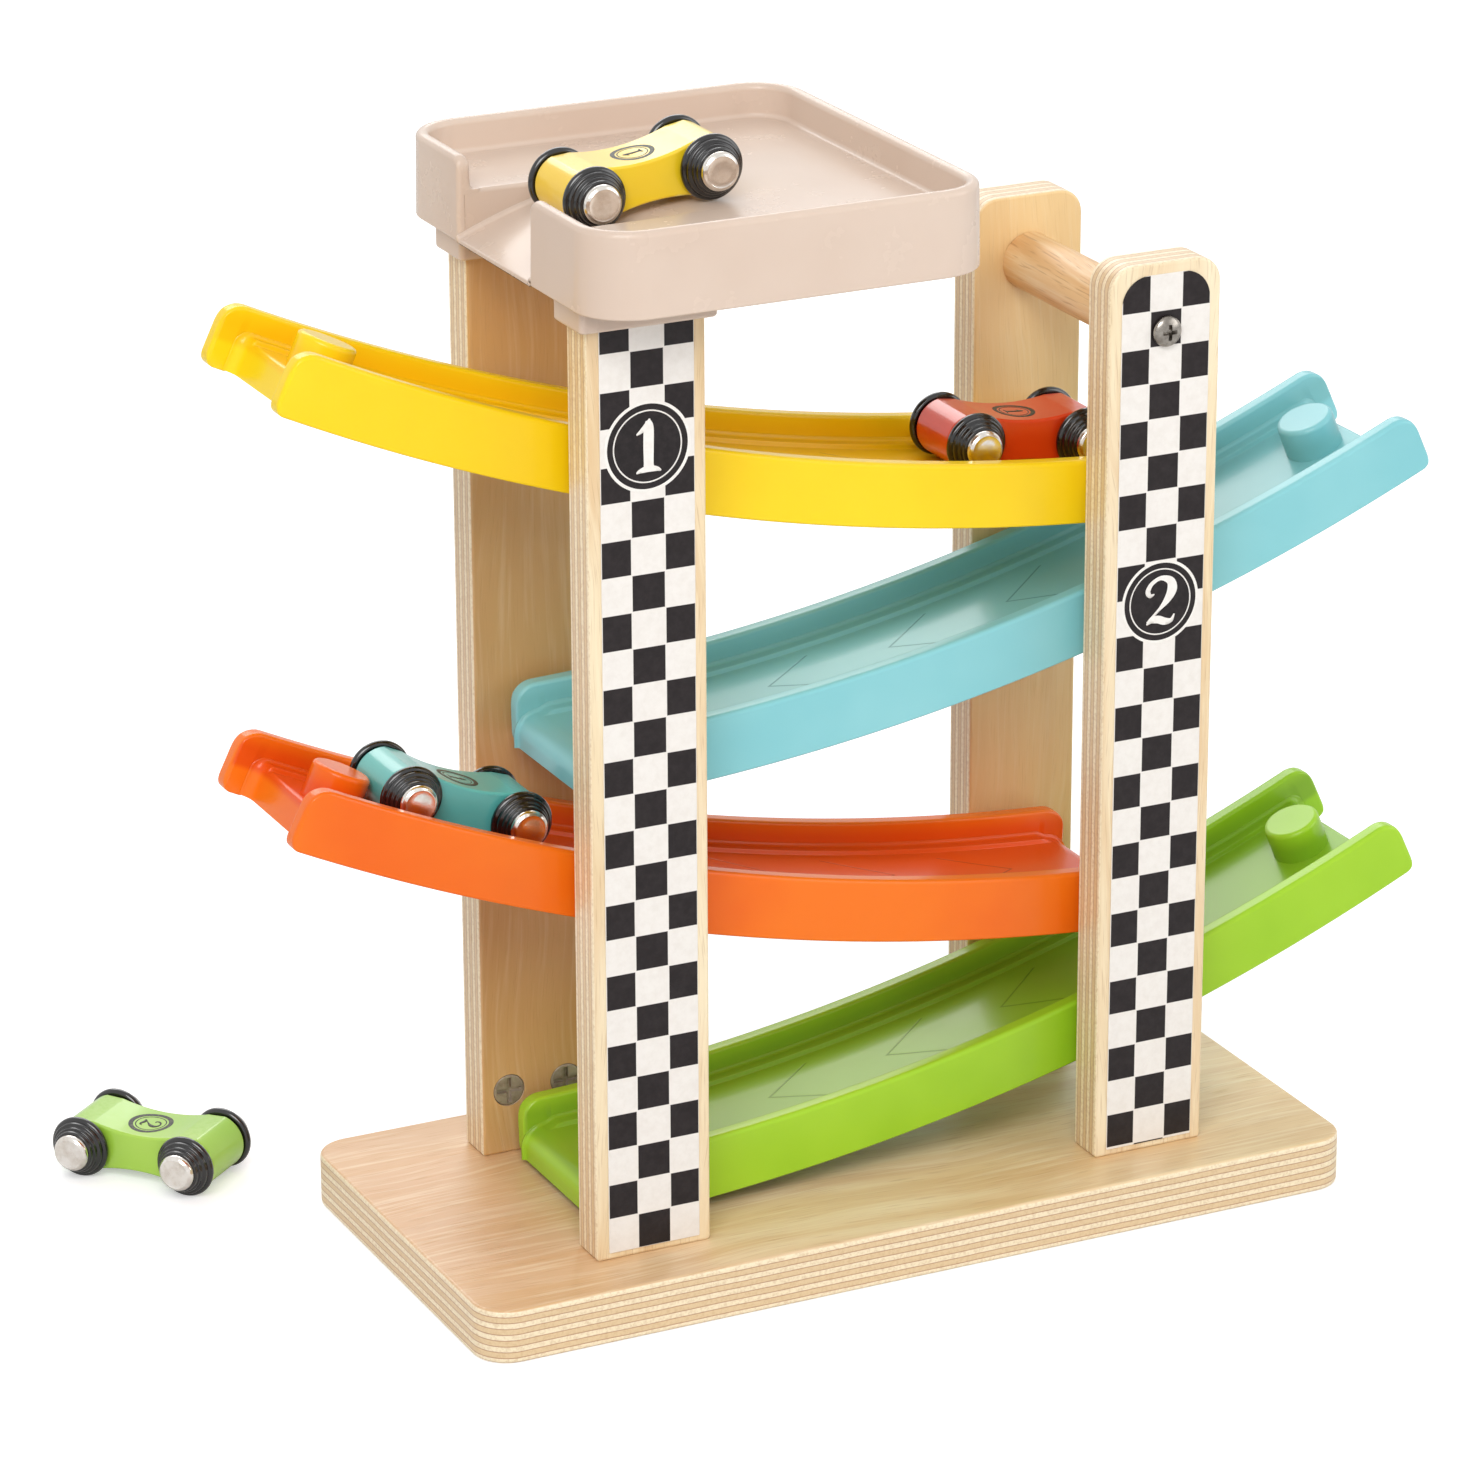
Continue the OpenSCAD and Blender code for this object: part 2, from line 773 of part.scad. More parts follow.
module car_body(car) {
    color(car_colours[car])
        place_car(car)
            difference() {
                rotate([90, 0, 0])
                    linear_extrude(height = car_width, center = true)
                        body_outline();
                for (x = [-1, 1])
                    translate([x * half_base, 0, 0])
                        y_cylinder(axle_diameter / 2 + axle_clearance, -car_width, car_width);
            }
}

module car_axle(car, end) {
    color("silver")
        place_car(car)
            translate([end * half_base, 0, 0])
                y_cylinder(axle_diameter / 2, -axle_half, axle_half);
}

module car_wheel(car, end, side) {
    color("black")
        place_car(car)
            translate([end * half_base, 0, 0])
                mirror([0, side > 0 ? 0 : 1, 0])
                    difference() {
                        for (n = [0:len(step_radius_shares) - 1])
                            y_cylinder(wheel_radius * step_radius_shares[n], wheel_inner,
                                wheel_inner + wheel_thickness * step_depth_shares[n]);
                        y_cylinder(axle_diameter / 2, wheel_inner - overrun, wheel_outer + overrun);
                    }
}

module car_caps(car, end) {
    rim = cap_height / 2;
    dome = (pow(cap_diameter / 2, 2) + pow(rim, 2)) / (2 * rim);
    color("silver")
        place_car(car)
            translate([end * half_base, 0, 0])
                for (side = [0, 1])
                    mirror([0, side, 0])
                        difference() {
                            intersection() {
                                y_cylinder(cap_diameter / 2, wheel_outer, wheel_outer + cap_height);
                                translate([0, wheel_outer + cap_height - dome, 0])
                                    sphere(r = dome);
                            }
                            y_cylinder(axle_diameter / 2, wheel_outer - overrun, axle_half);
                        }
}

base();
front_left_post();
front_right_post();
back_left_post();
back_right_post();
left_sticker();
right_sticker();
crossbar();
crossbar_screws();
barrel_nuts();
base_bolts();
track_screws();
tray();
yellow_track();
blue_track();
orange_track();
green_track();
car_body(YELLOW_CAR);  // yellow_car_body
car_axle(YELLOW_CAR, FRONT);  // yellow_car_front_axle
car_axle(YELLOW_CAR, REAR);  // yellow_car_rear_axle
car_wheel(YELLOW_CAR, FRONT, LEFT);  // yellow_car_front_left_wheel
car_wheel(YELLOW_CAR, FRONT, RIGHT);  // yellow_car_front_right_wheel
car_wheel(YELLOW_CAR, REAR, LEFT);  // yellow_car_rear_left_wheel
car_wheel(YELLOW_CAR, REAR, RIGHT);  // yellow_car_rear_right_wheel
car_caps(YELLOW_CAR, FRONT);  // yellow_car_front_caps
car_caps(YELLOW_CAR, REAR);  // yellow_car_rear_caps
car_body(RED_CAR);  // red_car_body
car_axle(RED_CAR, FRONT);  // red_car_front_axle
car_axle(RED_CAR, REAR);  // red_car_rear_axle
car_wheel(RED_CAR, FRONT, LEFT);  // red_car_front_left_wheel
car_wheel(RED_CAR, FRONT, RIGHT);  // red_car_front_right_wheel
car_wheel(RED_CAR, REAR, LEFT);  // red_car_rear_left_wheel
car_wheel(RED_CAR, REAR, RIGHT);  // red_car_rear_right_wheel
car_caps(RED_CAR, FRONT);  // red_car_front_caps
car_caps(RED_CAR, REAR);  // red_car_rear_caps
car_body(TEAL_CAR);  // teal_car_body
car_axle(TEAL_CAR, FRONT);  // teal_car_front_axle
car_axle(TEAL_CAR, REAR);  // teal_car_rear_axle
car_wheel(TEAL_CAR, FRONT, LEFT);  // teal_car_front_left_wheel
car_wheel(TEAL_CAR, FRONT, RIGHT);  // teal_car_front_right_wheel
car_wheel(TEAL_CAR, REAR, LEFT);  // teal_car_rear_left_wheel
car_wheel(TEAL_CAR, REAR, RIGHT);  // teal_car_rear_right_wheel
car_caps(TEAL_CAR, FRONT);  // teal_car_front_caps
car_caps(TEAL_CAR, REAR);  // teal_car_rear_caps
car_body(GREEN_CAR);  // green_car_body
car_axle(GREEN_CAR, FRONT);  // green_car_front_axle
car_axle(GREEN_CAR, REAR);  // green_car_rear_axle
car_wheel(GREEN_CAR, FRONT, LEFT);  // green_car_front_left_wheel
car_wheel(GREEN_CAR, FRONT, RIGHT);  // green_car_front_right_wheel
car_wheel(GREEN_CAR, REAR, LEFT);  // green_car_rear_left_wheel
car_wheel(GREEN_CAR, REAR, RIGHT);  // green_car_rear_right_wheel
car_caps(GREEN_CAR, FRONT);  // green_car_front_caps
car_caps(GREEN_CAR, REAR);  // green_car_rear_caps
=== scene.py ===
"""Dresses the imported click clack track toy.

Shapes are drawn in millimetres, in the part's own frame, and become metres when a piece is made.
"""
import math

import bmesh
import bpy
import numpy as np
from mathutils import Matrix


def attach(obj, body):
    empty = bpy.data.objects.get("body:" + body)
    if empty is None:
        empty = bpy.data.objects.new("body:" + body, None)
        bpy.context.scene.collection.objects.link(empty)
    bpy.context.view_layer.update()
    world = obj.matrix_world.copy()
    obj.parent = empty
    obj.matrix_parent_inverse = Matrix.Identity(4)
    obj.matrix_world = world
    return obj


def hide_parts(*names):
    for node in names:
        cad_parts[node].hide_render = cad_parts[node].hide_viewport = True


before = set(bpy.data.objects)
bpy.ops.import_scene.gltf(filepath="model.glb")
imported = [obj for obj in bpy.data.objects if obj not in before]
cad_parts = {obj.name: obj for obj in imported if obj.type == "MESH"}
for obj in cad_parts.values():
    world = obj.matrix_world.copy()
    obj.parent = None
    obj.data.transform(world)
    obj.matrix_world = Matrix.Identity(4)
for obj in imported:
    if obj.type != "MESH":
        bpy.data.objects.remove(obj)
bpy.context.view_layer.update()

MM = 0.001
TOY = "toy"

# Base, posts and crossbar
BASE_LENGTH, BASE_WIDTH, BASE_THICKNESS, BASE_CORNER = 260, 122, 15, 10
POST_WIDTH, POST_THICKNESS, POST_INNER = 33, 12, 31.5
POST_OUTER = POST_INNER + POST_THICKNESS
LEFT_POST_X, RIGHT_POST_X = -74, 75.5
LEFT_POST_TOP, RIGHT_POST_TOP, POST_CORNER = 288, 267, 7
BAR_RADIUS, BAR_Z, BAR_SCREW_RADIUS, BAR_SCREW_HEAD = 8, 248.5, 2, 4.15
BAR_SCREW_LENGTH, BAR_HEAD_HEIGHT = 32, 2.6
NUT_RADIUS, NUT_LENGTH, NUT_Z, NUT_HALF_SPACING = 4.5, 10, 33.5, 8.5
BOLT_RADIUS, BOLT_HEAD, BOLT_HEAD_DEPTH, BOLT_TOP = 2.5, 4.8, 2.3, 40.5
STICKER_HALF, STICKER_THICKNESS, STICKER_FOOT, STICKER_CORNER = 13.15, 0.3, 17, 8
LEFT_STICKER_TOP, RIGHT_STICKER_TOP = 269.9, 264
POST_MIDDLE = POST_INNER + POST_THICKNESS / 2
STICKER_FACE = POST_OUTER + STICKER_THICKNESS
CHEQUER_HEIGHT, CHEQUER_COLUMN = 9.86, 4.7
NUT_CLEARANCE, HEAD_CLEARANCE = 0.12, 0.1

# Tracks: s runs uphill along the floor, y across it and h away from it
FLOOR_RADIUS, TRACK_LENGTH, TRACK_HALF, TRACK_WALL = 630, 257, 26.5, 5
WALL_HEIGHT, SKIRT_DEPTH, TRACK_SKIN = 8, 9.5, 2.2
LEDGE_WIDTH, LEDGE_HEIGHT = 4, 1.2
FLOOR_END, LOW_END_ON_LEFT, LOW_END_ON_RIGHT = TRACK_LENGTH - 8.5, -82.5, 84
KNOB_PLACE, KNOB_RADIUS, KNOB_HEIGHT = 237.5, 8, 9.5
LIP_RADIUS, WALL_END_TOP, WALL_END_BOTTOM = 6, 6, 3
BOSS_RADIUS, BOSS_DEPTH, BOSS_LENGTH, TRACK_SCREW_HEAD = 4, 4.75, 14, 3.5
CHEVRON_PITCH, FIRST_CHEVRON, CHEVRON_HALF_WIDTH, CHEVRON_MIDDLE = 36.5, 64.5, 12.8, 1
CHEVRON_LEAN, CHEVRON_STRETCH = 1.45, 1.76
CHEVRONS_START, CHEVRONS_END, GROOVE_CORE, GROOVE_EDGE = 26, 205, 0.14, 0.36
OFF_THE_TRACK = (0.0, 0.0, -9.0)
TRACKS = {
    "yellow": {"side": -1, "low": 176, "slope": 2.5},
    "blue": {"side": 1, "low": 121.44, "slope": 1},
    "orange": {"side": -1, "low": 58.432, "slope": 3},
    "green": {"side": 1, "low": 1.5, "slope": 1.4},
}
for facts in TRACKS.values():
    low_x = LOW_END_ON_LEFT if facts["side"] > 0 else LOW_END_ON_RIGHT
    tilt = math.radians(facts["slope"])
    facts["tilt"] = tilt
    facts["centre_x"] = low_x - facts["side"] * FLOOR_RADIUS * math.sin(tilt)
    facts["centre_z"] = BASE_THICKNESS + facts["low"] + SKIRT_DEPTH + FLOOR_RADIUS * math.cos(tilt)

# Tray
TRAY_LEFT, TRAY_LENGTH, TRAY_WIDTH, TRAY_CORNER = -96, 112, 126, 15
TRAY_FLOOR, TRAY_BOTTOM, RIM_TOP, RIM_WALL, TRAY_SKIN = 290.5, 277, 299.5, 4, 2.5
RIM_END_TOP, RIM_END_EDGE, RIM_COVER = 3.2, 1.2, 2.2
COLLAR_WALL, COLLAR_CLEARANCE, COLLAR_BOTTOM = 2.5, 0.1, 270
EXIT_FRONT, EXIT_BACK = -21.5, 23.5
RAMP_RADIUS, RAMP_START, RAMP_CENTRE_Z = 150, -35.5, 140.5

# Cars
HALF_BASE, CAR_HALF, BODY_END, BODY_WAIST = 16.6, 9, 7.8, 5.5
WHEEL_RADIUS, WHEEL_INNER, WHEEL_THICKNESS = 8.7, 9.4, 5.8
WHEEL_OUTER = WHEEL_INNER + WHEEL_THICKNESS
CAP_RADIUS, ROLL_GAP = 5.25, 0.3


# Shapes
def corner_drop(distance, radius):
    """How far a round of this radius falls below the flat, at a distance from the end."""
    if distance >= radius:
        return 0.0
    return radius - math.sqrt(max(radius**2 - (radius - distance) ** 2, 0))


def rounded_loop(corners, steps=5):
    """A closed outline through corners (u, v, radius), with as many points whatever the radii."""
    loop = []
    for k, (u, v, radius) in enumerate(corners):
        corner = np.array([u, v], float)
        back = np.array(corners[k - 1][:2], float) - corner
        ahead = np.array(corners[(k + 1) % len(corners)][:2], float) - corner
        back_length, ahead_length = np.linalg.norm(back), np.linalg.norm(ahead)
        if min(back_length, ahead_length, radius) < 1e-6:
            loop += [corner] * (steps + 1)
            continue
        back, ahead = back / back_length, ahead / ahead_length
        half = 0.5 * math.acos(max(-1.0, min(1.0, float(back @ ahead))))
        turn = math.pi - 2 * half
        if turn < 1e-3:
            loop += [corner] * (steps + 1)
            continue
        reach = min(radius / math.tan(half), 0.49 * back_length, 0.49 * ahead_length)
        middle = back + ahead
        centre = corner + middle / np.linalg.norm(middle) * reach / math.cos(half)
        first, last = corner + back * reach - centre, corner + ahead * reach - centre
        for step in range(steps + 1):
            t = step / steps
            blend = math.sin((1 - t) * turn) * first + math.sin(t * turn) * last
            loop.append(centre + blend / math.sin(turn))
    return np.array(loop)


def rounded_rectangle(length, width, corner, steps=10):
    a, b = length / 2, width / 2
    return rounded_loop([(a, b, corner), (-a, b, corner), (-a, -b, corner), (a, -b, corner)], steps)


def inset(loop, distance):
    """A closed outline moved inwards along its mitred normals; the outline runs anticlockwise."""
    before, after = np.roll(loop, 1, axis=0), np.roll(loop, -1, axis=0)

    def outward(direction):
        length = np.maximum(np.linalg.norm(direction, axis=1, keepdims=True), 1e-9)
        direction = direction / length
        return np.stack([direction[:, 1], -direction[:, 0]], axis=1)

    a, b = outward(loop - before), outward(after - loop)
    normal = a + b
    return loop - normal * (distance * 2 / np.maximum((normal**2).sum(1), 0.2))[:, None]


class Form:
    """Points and faces gathered for one piece."""

    def __init__(self):
        self.points, self.faces = [], []

    def loft(self, rows, ring=True, caps=True, place=None):
        """Joins rows of equally many points; a ring closes each row, and caps close the two ends."""
        rows = np.asarray(rows, float)
        count, around = rows.shape[:2]
        points = rows.reshape(-1, 3)
        if place is not None:
            points = place(points)
        start = len(self.points)
        self.points.extend(points.tolist())
        for i in range(count - 1):
            for j in range(around if ring else around - 1):
                k = (j + 1) % around
                self.faces.append((start + i * around + j, start + i * around + k,
                                   start + (i + 1) * around + k, start + (i + 1) * around + j))
        if caps:
            self.faces.append(tuple(start + j for j in reversed(range(around))))
            self.faces.append(tuple(start + (count - 1) * around + j for j in range(around)))
        return self

    def lathe(self, profile, place=None, steps=72, caps=False):
        """Turns a profile of (radius, height) about the local Z axis."""
        angles = np.linspace(0, 2 * math.pi, steps, endpoint=False)
        rows = [np.stack([r * np.cos(angles), r * np.sin(angles), np.full(steps, z)], axis=1)
                for r, z in profile]
        return self.loft(rows, caps=caps, place=place)

    def slab(self, outline, thickness, edge, place=None, steps=4):
        """A board of an outline in X and Z, from -thickness/2 to +thickness/2 in Y, with rounded edges."""
        turns = [math.pi / 2 * k / steps for k in range(steps + 1)]
        half = thickness / 2
        levels = [(edge * (1 - math.sin(t)), -half + edge * (1 - math.cos(t))) for t in turns]
        levels += [(distance, -y) for distance, y in reversed(levels)]
        rows = []
        for distance, y in levels:
            loop = inset(outline, distance)
            rows.append(np.stack([loop[:, 0], np.full(len(loop), y), loop[:, 1]], axis=1))
        return self.loft(rows, place=place)


def by_matrix(matrix):
    array = np.array(matrix, float)
    return lambda points: points @ array[:3, :3].T + array[:3, 3]


def in_turn(first, second):
    """Places points by one place, and then by another."""
    return lambda points: second(first(points))


def shift(x, y, z):
    return Matrix.Translation((x, y, z))


def facing(direction, x, y, z):
    """Places a fastener drawn along +Z so that it faces -Y, +Y or -Z at a point."""
    turns = {"-Y": (90, "X"), "+Y": (-90, "X"), "-Z": (180, "X")}
    angle, axis = turns[direction]
    return by_matrix(shift(x, y, z) @ Matrix.Rotation(math.radians(angle), 4, axis))


def arc_points(centre, radius, first, last, steps):
    return [(centre[0] + radius * math.cos(math.radians(a)), centre[1] + radius * math.sin(math.radians(a)))
            for a in np.linspace(first, last, steps)]


def smooth_path(points, samples):
    """A smooth curve through rows of numbers."""
    p = np.asarray(points, float)
    p = np.vstack([2 * p[0] - p[1], p, 2 * p[-1] - p[-2]])
    spans = len(p) - 3
    curve = []
    for k in range(samples):
        t = k / (samples - 1) * spans
        i = min(int(t), spans - 1)
        t -= i
        a, b, c, d = p[i:i + 4]
        square, cube = 2 * a - 5 * b + 4 * c - d, 3 * b - a - 3 * c + d
        curve.append(0.5 * (2 * b + (c - a) * t + square * t**2 + cube * t**3))
    return np.array(curve)


def ribbon(form, path, low, high, drape):
    """A flat stroke: path rows are (u, v, width), lying between two heights that drape turns into places."""
    path = np.asarray(path, float)
    along = np.gradient(path[:, :2], axis=0)
    along /= np.maximum(np.linalg.norm(along, axis=1, keepdims=True), 1e-9)
    across = np.stack([-along[:, 1], along[:, 0]], axis=1) * (path[:, 2:3] / 2)
    left, right = path[:, :2] + across, path[:, :2] - across
    rows = np.stack([np.c_[left, np.full(len(path), low)], np.c_[left, np.full(len(path), high)],
                     np.c_[right, np.full(len(path), high)], np.c_[right, np.full(len(path), low)]], axis=1)
    form.loft(rows, place=drape)


def flat_ring(form, inner, outer, low, high, drape, steps=72):
    angles = np.linspace(0, 2 * math.pi, steps, endpoint=False)
    c, s = np.cos(angles), np.sin(angles)
    rows = [np.stack([r * c, r * s, np.full(steps, w)], axis=1)
            for r, w in ((inner, low), (inner, high), (outer, high), (outer, low))]
    form.loft(rows + rows[:1], caps=False, place=drape)


def flat_disc(form, radius, low, high, drape, steps=72, rings=6):
    profile = [(radius * k / rings, high) for k in range(rings + 1)] + [(radius, low), (0, low)]
    form.lathe(profile, steps=steps, place=drape)


# Pieces
def make_piece(name, form, material, replaced=(), body=TOY, places=None, weighted=True):
    """Makes an object of a form; places are the track places that a material reads at each point."""
    mesh = bpy.data.meshes.new(name)
    mesh.from_pydata((np.array(form.points) * MM).tolist(), [], form.faces)
    if places is not None:
        mesh.attributes.new("track_place", "FLOAT_VECTOR", "POINT").data.foreach_set(
            "vector", (np.asarray(places, np.float32) * MM).ravel())
    work = bmesh.new()
    work.from_mesh(mesh)
    bmesh.ops.remove_doubles(work, verts=work.verts, dist=2e-6)
    bmesh.ops.dissolve_degenerate(work, edges=work.edges, dist=1e-6)
    bmesh.ops.recalc_face_normals(work, faces=work.faces)
    for face in work.faces:
        face.smooth = len(face.verts) < 5
    work.to_mesh(mesh)
    work.free()
    piece = bpy.data.objects.new(name, mesh)
    bpy.context.scene.collection.objects.link(piece)
    mesh.materials.append(material)
    if body:
        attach(piece, body)
        if replaced:
            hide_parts(*replaced)
    if weighted:
        piece.modifiers.new("even faces", "WEIGHTED_NORMAL").keep_sharp = True
    return piece


def cut(piece, form):
    """Takes a form away from a piece."""
    tool = make_piece("cutting_tool", form, piece.data.materials[0], body=None, weighted=False)
    step = piece.modifiers.new("cut", "BOOLEAN")
    piece.modifiers.move(len(piece.modifiers) - 1, 0)
    step.operation, step.object, step.solver = "DIFFERENCE", tool, "EXACT"
    others = [m for m in piece.modifiers if m != step]
    for m in others:
        m.show_viewport = False
    mesh = bpy.data.meshes.new_from_object(piece.evaluated_get(bpy.context.evaluated_depsgraph_get()))
    piece.modifiers.remove(step)
    for m in others:
        m.show_viewport = True
    piece.data = mesh
    for face in mesh.polygons:
        if len(face.vertices) > 4:
            face.use_smooth = False
    bpy.data.objects.remove(tool)


# Materials
def colour(red, green, blue):
    """A colour given as it looks on a screen, from 0 to 255."""
    return tuple((c / 255 / 12.92) if c / 255 <= 0.04045 else ((c / 255 + 0.055) / 1.055) ** 2.4
                 for c in (red, green, blue)) + (1.0,)


class Nodes:
    """A short way to write a material's or a group's nodes."""

    def __init__(self, tree):
        self.tree = tree

    def add(self, kind, inputs=None, **settings):
        node = self.tree.nodes.new("ShaderNode" + kind)
        for key, value in settings.items():
            setattr(node, key, value)
        for key, value in (inputs or {}).items():
            self.feed(node.inputs[key], value)
        return node

    def feed(self, socket, value):
        if isinstance(value, bpy.types.NodeSocket):
            self.tree.links.new(value, socket)
        elif isinstance(value, bpy.types.Node):
            self.tree.links.new(value.outputs[0], socket)
        else:
            socket.default_value = value

    def maths(self, operation, *values, clamp=False):
        node = self.add("Math", {k: v for k, v in enumerate(values)}, operation=operation, use_clamp=clamp)
        return node.outputs[0]

    def mix(self, factor, a, b, blend="MIX"):
        node = self.add("Mix", data_type="RGBA", blend_type=blend)
        for key, value in ((0, factor), (6, a), (7, b)):
            self.feed(node.inputs[key], value)
        return node.outputs[2]

    def ramp(self, value, low, high, to_low=0.0, to_high=1.0, smooth=True):
        kind = "SMOOTHSTEP" if smooth else "LINEAR"
        node = self.add("MapRange", {"Value": value, "From Min": low, "From Max": high,
                                     "To Min": to_low, "To Max": to_high}, interpolation_type=kind)
        return node.outputs[0]

    def noise(self, vector, scale, detail=2.0, rough=0.5, warp=0.0):
        node = self.add("TexNoise", {"Vector": vector, "Scale": scale, "Detail": detail,
                                     "Roughness": rough, "Distortion": warp})
        return node.outputs[0]

    def stretch(self, vector, x, y, z):
        return self.add("VectorMath", {0: vector, 1: (x, y, z)}, operation="MULTIPLY").outputs[0]

    def apart(self, vector):
        return self.add("SeparateXYZ", {0: vector}).outputs

    def together(self, x, y, z):
        return self.add("CombineXYZ", {0: x, 1: y, 2: z}).outputs[0]


def new_group(name, inputs, outputs):
    """An empty node group: its tree, a writer for its nodes, what it is given and what it puts out."""
    tree = bpy.data.node_groups.new(name, "ShaderNodeTree")
    for label, kind, value in inputs:
        socket = tree.interface.new_socket(label, in_out="INPUT", socket_type="NodeSocket" + kind)
        if value is not None:
            socket.default_value = value
    for label, kind in outputs:
        tree.interface.new_socket(label, in_out="OUTPUT", socket_type="NodeSocket" + kind)
    given, out = tree.nodes.new("NodeGroupInput").outputs, tree.nodes.new("NodeGroupOutput").inputs
    return tree, Nodes(tree), given, out


def wood_grain_group():
    """Grain that runs along X of the place given, in metres."""
    tree, n, given, out = new_group(
        "wood grain", [("Place", "Vector", None), ("Seed", "Float", 0.0)],
        [("Bands", "Float"), ("Streaks", "Float"), ("Pores", "Float"), ("Height", "Float")])
    x, y, z = n.apart(given["Place"])
    bend = n.maths("SUBTRACT", n.noise(n.stretch(given["Place"], 7, 16, 16), 1.0), 0.5)
    bend = n.maths("MULTIPLY", bend, 0.03)
    y = n.maths("ADD", n.maths("ADD", y, bend), n.maths("MULTIPLY", given["Seed"], 0.37))
    place = n.together(n.maths("ADD", x, given["Seed"]), y, z)
    bands = n.noise(n.stretch(place, 7, 95, 60), 1.0, 3.0, 0.55, 0.6)
    streaks = n.noise(n.stretch(place, 26, 620, 500), 1.0, 3.0, 0.6)
    pores = n.ramp(n.noise(n.stretch(place, 85, 2300, 2000), 1.0, 1.0), 0.56, 0.74)
    n.feed(out["Bands"], bands)
    n.feed(out["Streaks"], streaks)
    n.feed(out["Pores"], pores)
    n.feed(out["Height"], n.maths("SUBTRACT", n.maths("MULTIPLY", streaks, 0.5),
                                  n.maths("MULTIPLY", pores, 0.6)))
    return tree


def ply_layers_group():
    """Veneers seen on a board's edge: Through runs from 0 to 1 across the thickness."""
    tree, n, given, out = new_group(
        "ply layers", [("Through", "Float", 0.5), ("Place", "Vector", None), ("Layers", "Float", 7.0)],
        [("Glue line", "Float"), ("Cross veneer", "Float"), ("Fuzz", "Float")])
    wobble = n.maths("MULTIPLY", n.maths("SUBTRACT", n.noise(given["Place"], 60.0, 2.0), 0.5), 0.22)
    depth = n.maths("ADD", n.maths("MULTIPLY", given["Through"], given["Layers"]), wobble)
    part = n.maths("FRACT", depth)
    near = n.maths("MINIMUM", part, n.maths("SUBTRACT", 1.0, part))
    cross = n.maths("MODULO", n.maths("FLOOR", depth), 2.0)
    fuzz = n.noise(given["Place"], 900.0, 3.0, 0.7)
    n.feed(out["Glue line"], n.ramp(near, 0.13, 0.03))
    n.feed(out["Cross veneer"], cross)
    n.feed(out["Fuzz"], fuzz)
    return tree


def moulding_group():
    """Faint unevenness of a glossy moulded or lacquered skin, with light dust."""
    tree, n, given, out = new_group(
        "glossy skin", [("Place", "Vector", None), ("Ripple size", "Float", 320.0)],
        [("Tone", "Float"), ("Height", "Float"), ("Smudge", "Float")])
    n.feed(out["Tone"], n.noise(given["Place"], 14.0, 3.0, 0.55))
    ripple = n.noise(given["Place"], given["Ripple size"], 2.0, 0.4)
    slow = n.noise(given["Place"], 45.0, 1.0)
    n.feed(out["Height"], n.maths("ADD", n.maths("MULTIPLY", ripple, 0.35), n.maths("MULTIPLY", slow, 1.0)))
    n.feed(out["Smudge"], n.ramp(n.noise(given["Place"], 60.0, 4.0, 0.65), 0.45, 0.75))
    return tree


def painted_edge_highlight_group():
    """A mask of the crests of edges, broken up by noise, for a painted highlight along them."""
    tree, n, given, out = new_group(
        "edge wear", [("Place", "Vector", None), ("Low", "Float", 0.52), ("High", "Float", 0.6)],
        [("Edge", "Float")])
    crest = n.add("NewGeometry").outputs["Pointiness"]
    mask = n.add("MapRange", {"Value": crest, "From Min": given["Low"], "From Max": given["High"]}).outputs[0]
    breakup = n.ramp(n.noise(given["Place"], 700.0, 3.0, 0.6), 0.35, 0.6)
    n.feed(out["Edge"], n.maths("MULTIPLY", mask, breakup, clamp=True))
    return tree


def shade_and_groove_masks_group():
    """Masks by the place on a track, in metres: the channel, for painted shade deepest towards its floor, and
    the chevron grooves in its floor.
    """
    tree, n, given, out = new_group(
        "track marks", [("Track place", "Vector", None)], [("Channel shade", "Float"), ("Groove", "Float")])
    s, y, h = n.apart(given["Track place"])
    inner = TRACK_HALF - TRACK_WALL
    # Painted shade: the channel's mask is strongest on the floor and fades up the walls.
    channel = n.ramp(n.maths("ABSOLUTE", y), (inner + 0.8) * MM, inner * MM)
    channel = n.maths("MULTIPLY", channel, n.ramp(h, -3 * MM, -1 * MM))
    channel = n.maths("MULTIPLY", channel, n.ramp(h, (WALL_HEIGHT + 1) * MM, 3 * MM, 0.0, 0.75))
    n.feed(out["Channel shade"], channel)
    inside = n.maths("MULTIPLY", n.maths("LESS_THAN", n.maths("ABSOLUTE", y), CHEVRON_HALF_WIDTH * MM),
                     n.maths("LESS_THAN", n.maths("ABSOLUTE", h), 0.4 * MM))
    inside = n.maths("MULTIPLY", inside, n.maths("MULTIPLY", n.maths("GREATER_THAN", s, CHEVRONS_START * MM),
                                                  n.maths("LESS_THAN", s, CHEVRONS_END * MM)))
    off_middle = n.maths("ABSOLUTE", n.maths("SUBTRACT", y, CHEVRON_MIDDLE * MM))
    folded = n.maths("SUBTRACT", s, n.maths("MULTIPLY", off_middle, CHEVRON_LEAN))
    step = n.maths("DIVIDE", n.maths("SUBTRACT", folded, FIRST_CHEVRON * MM), CHEVRON_PITCH * MM)
    part = n.maths("FRACT", n.maths("ADD", step, 0.5))
    near = n.maths("MULTIPLY", n.maths("ABSOLUTE", n.maths("SUBTRACT", part, 0.5)),
                   CHEVRON_PITCH * MM / CHEVRON_STRETCH)
    n.feed(out["Groove"], n.maths("MULTIPLY", n.ramp(near, GROOVE_EDGE * MM, GROOVE_CORE * MM), inside))
    return tree


GROUPS = {"grain": wood_grain_group(), "ply": ply_layers_group(), "skin": moulding_group(),
          "wear": painted_edge_highlight_group(), "marks": shade_and_groove_masks_group()}


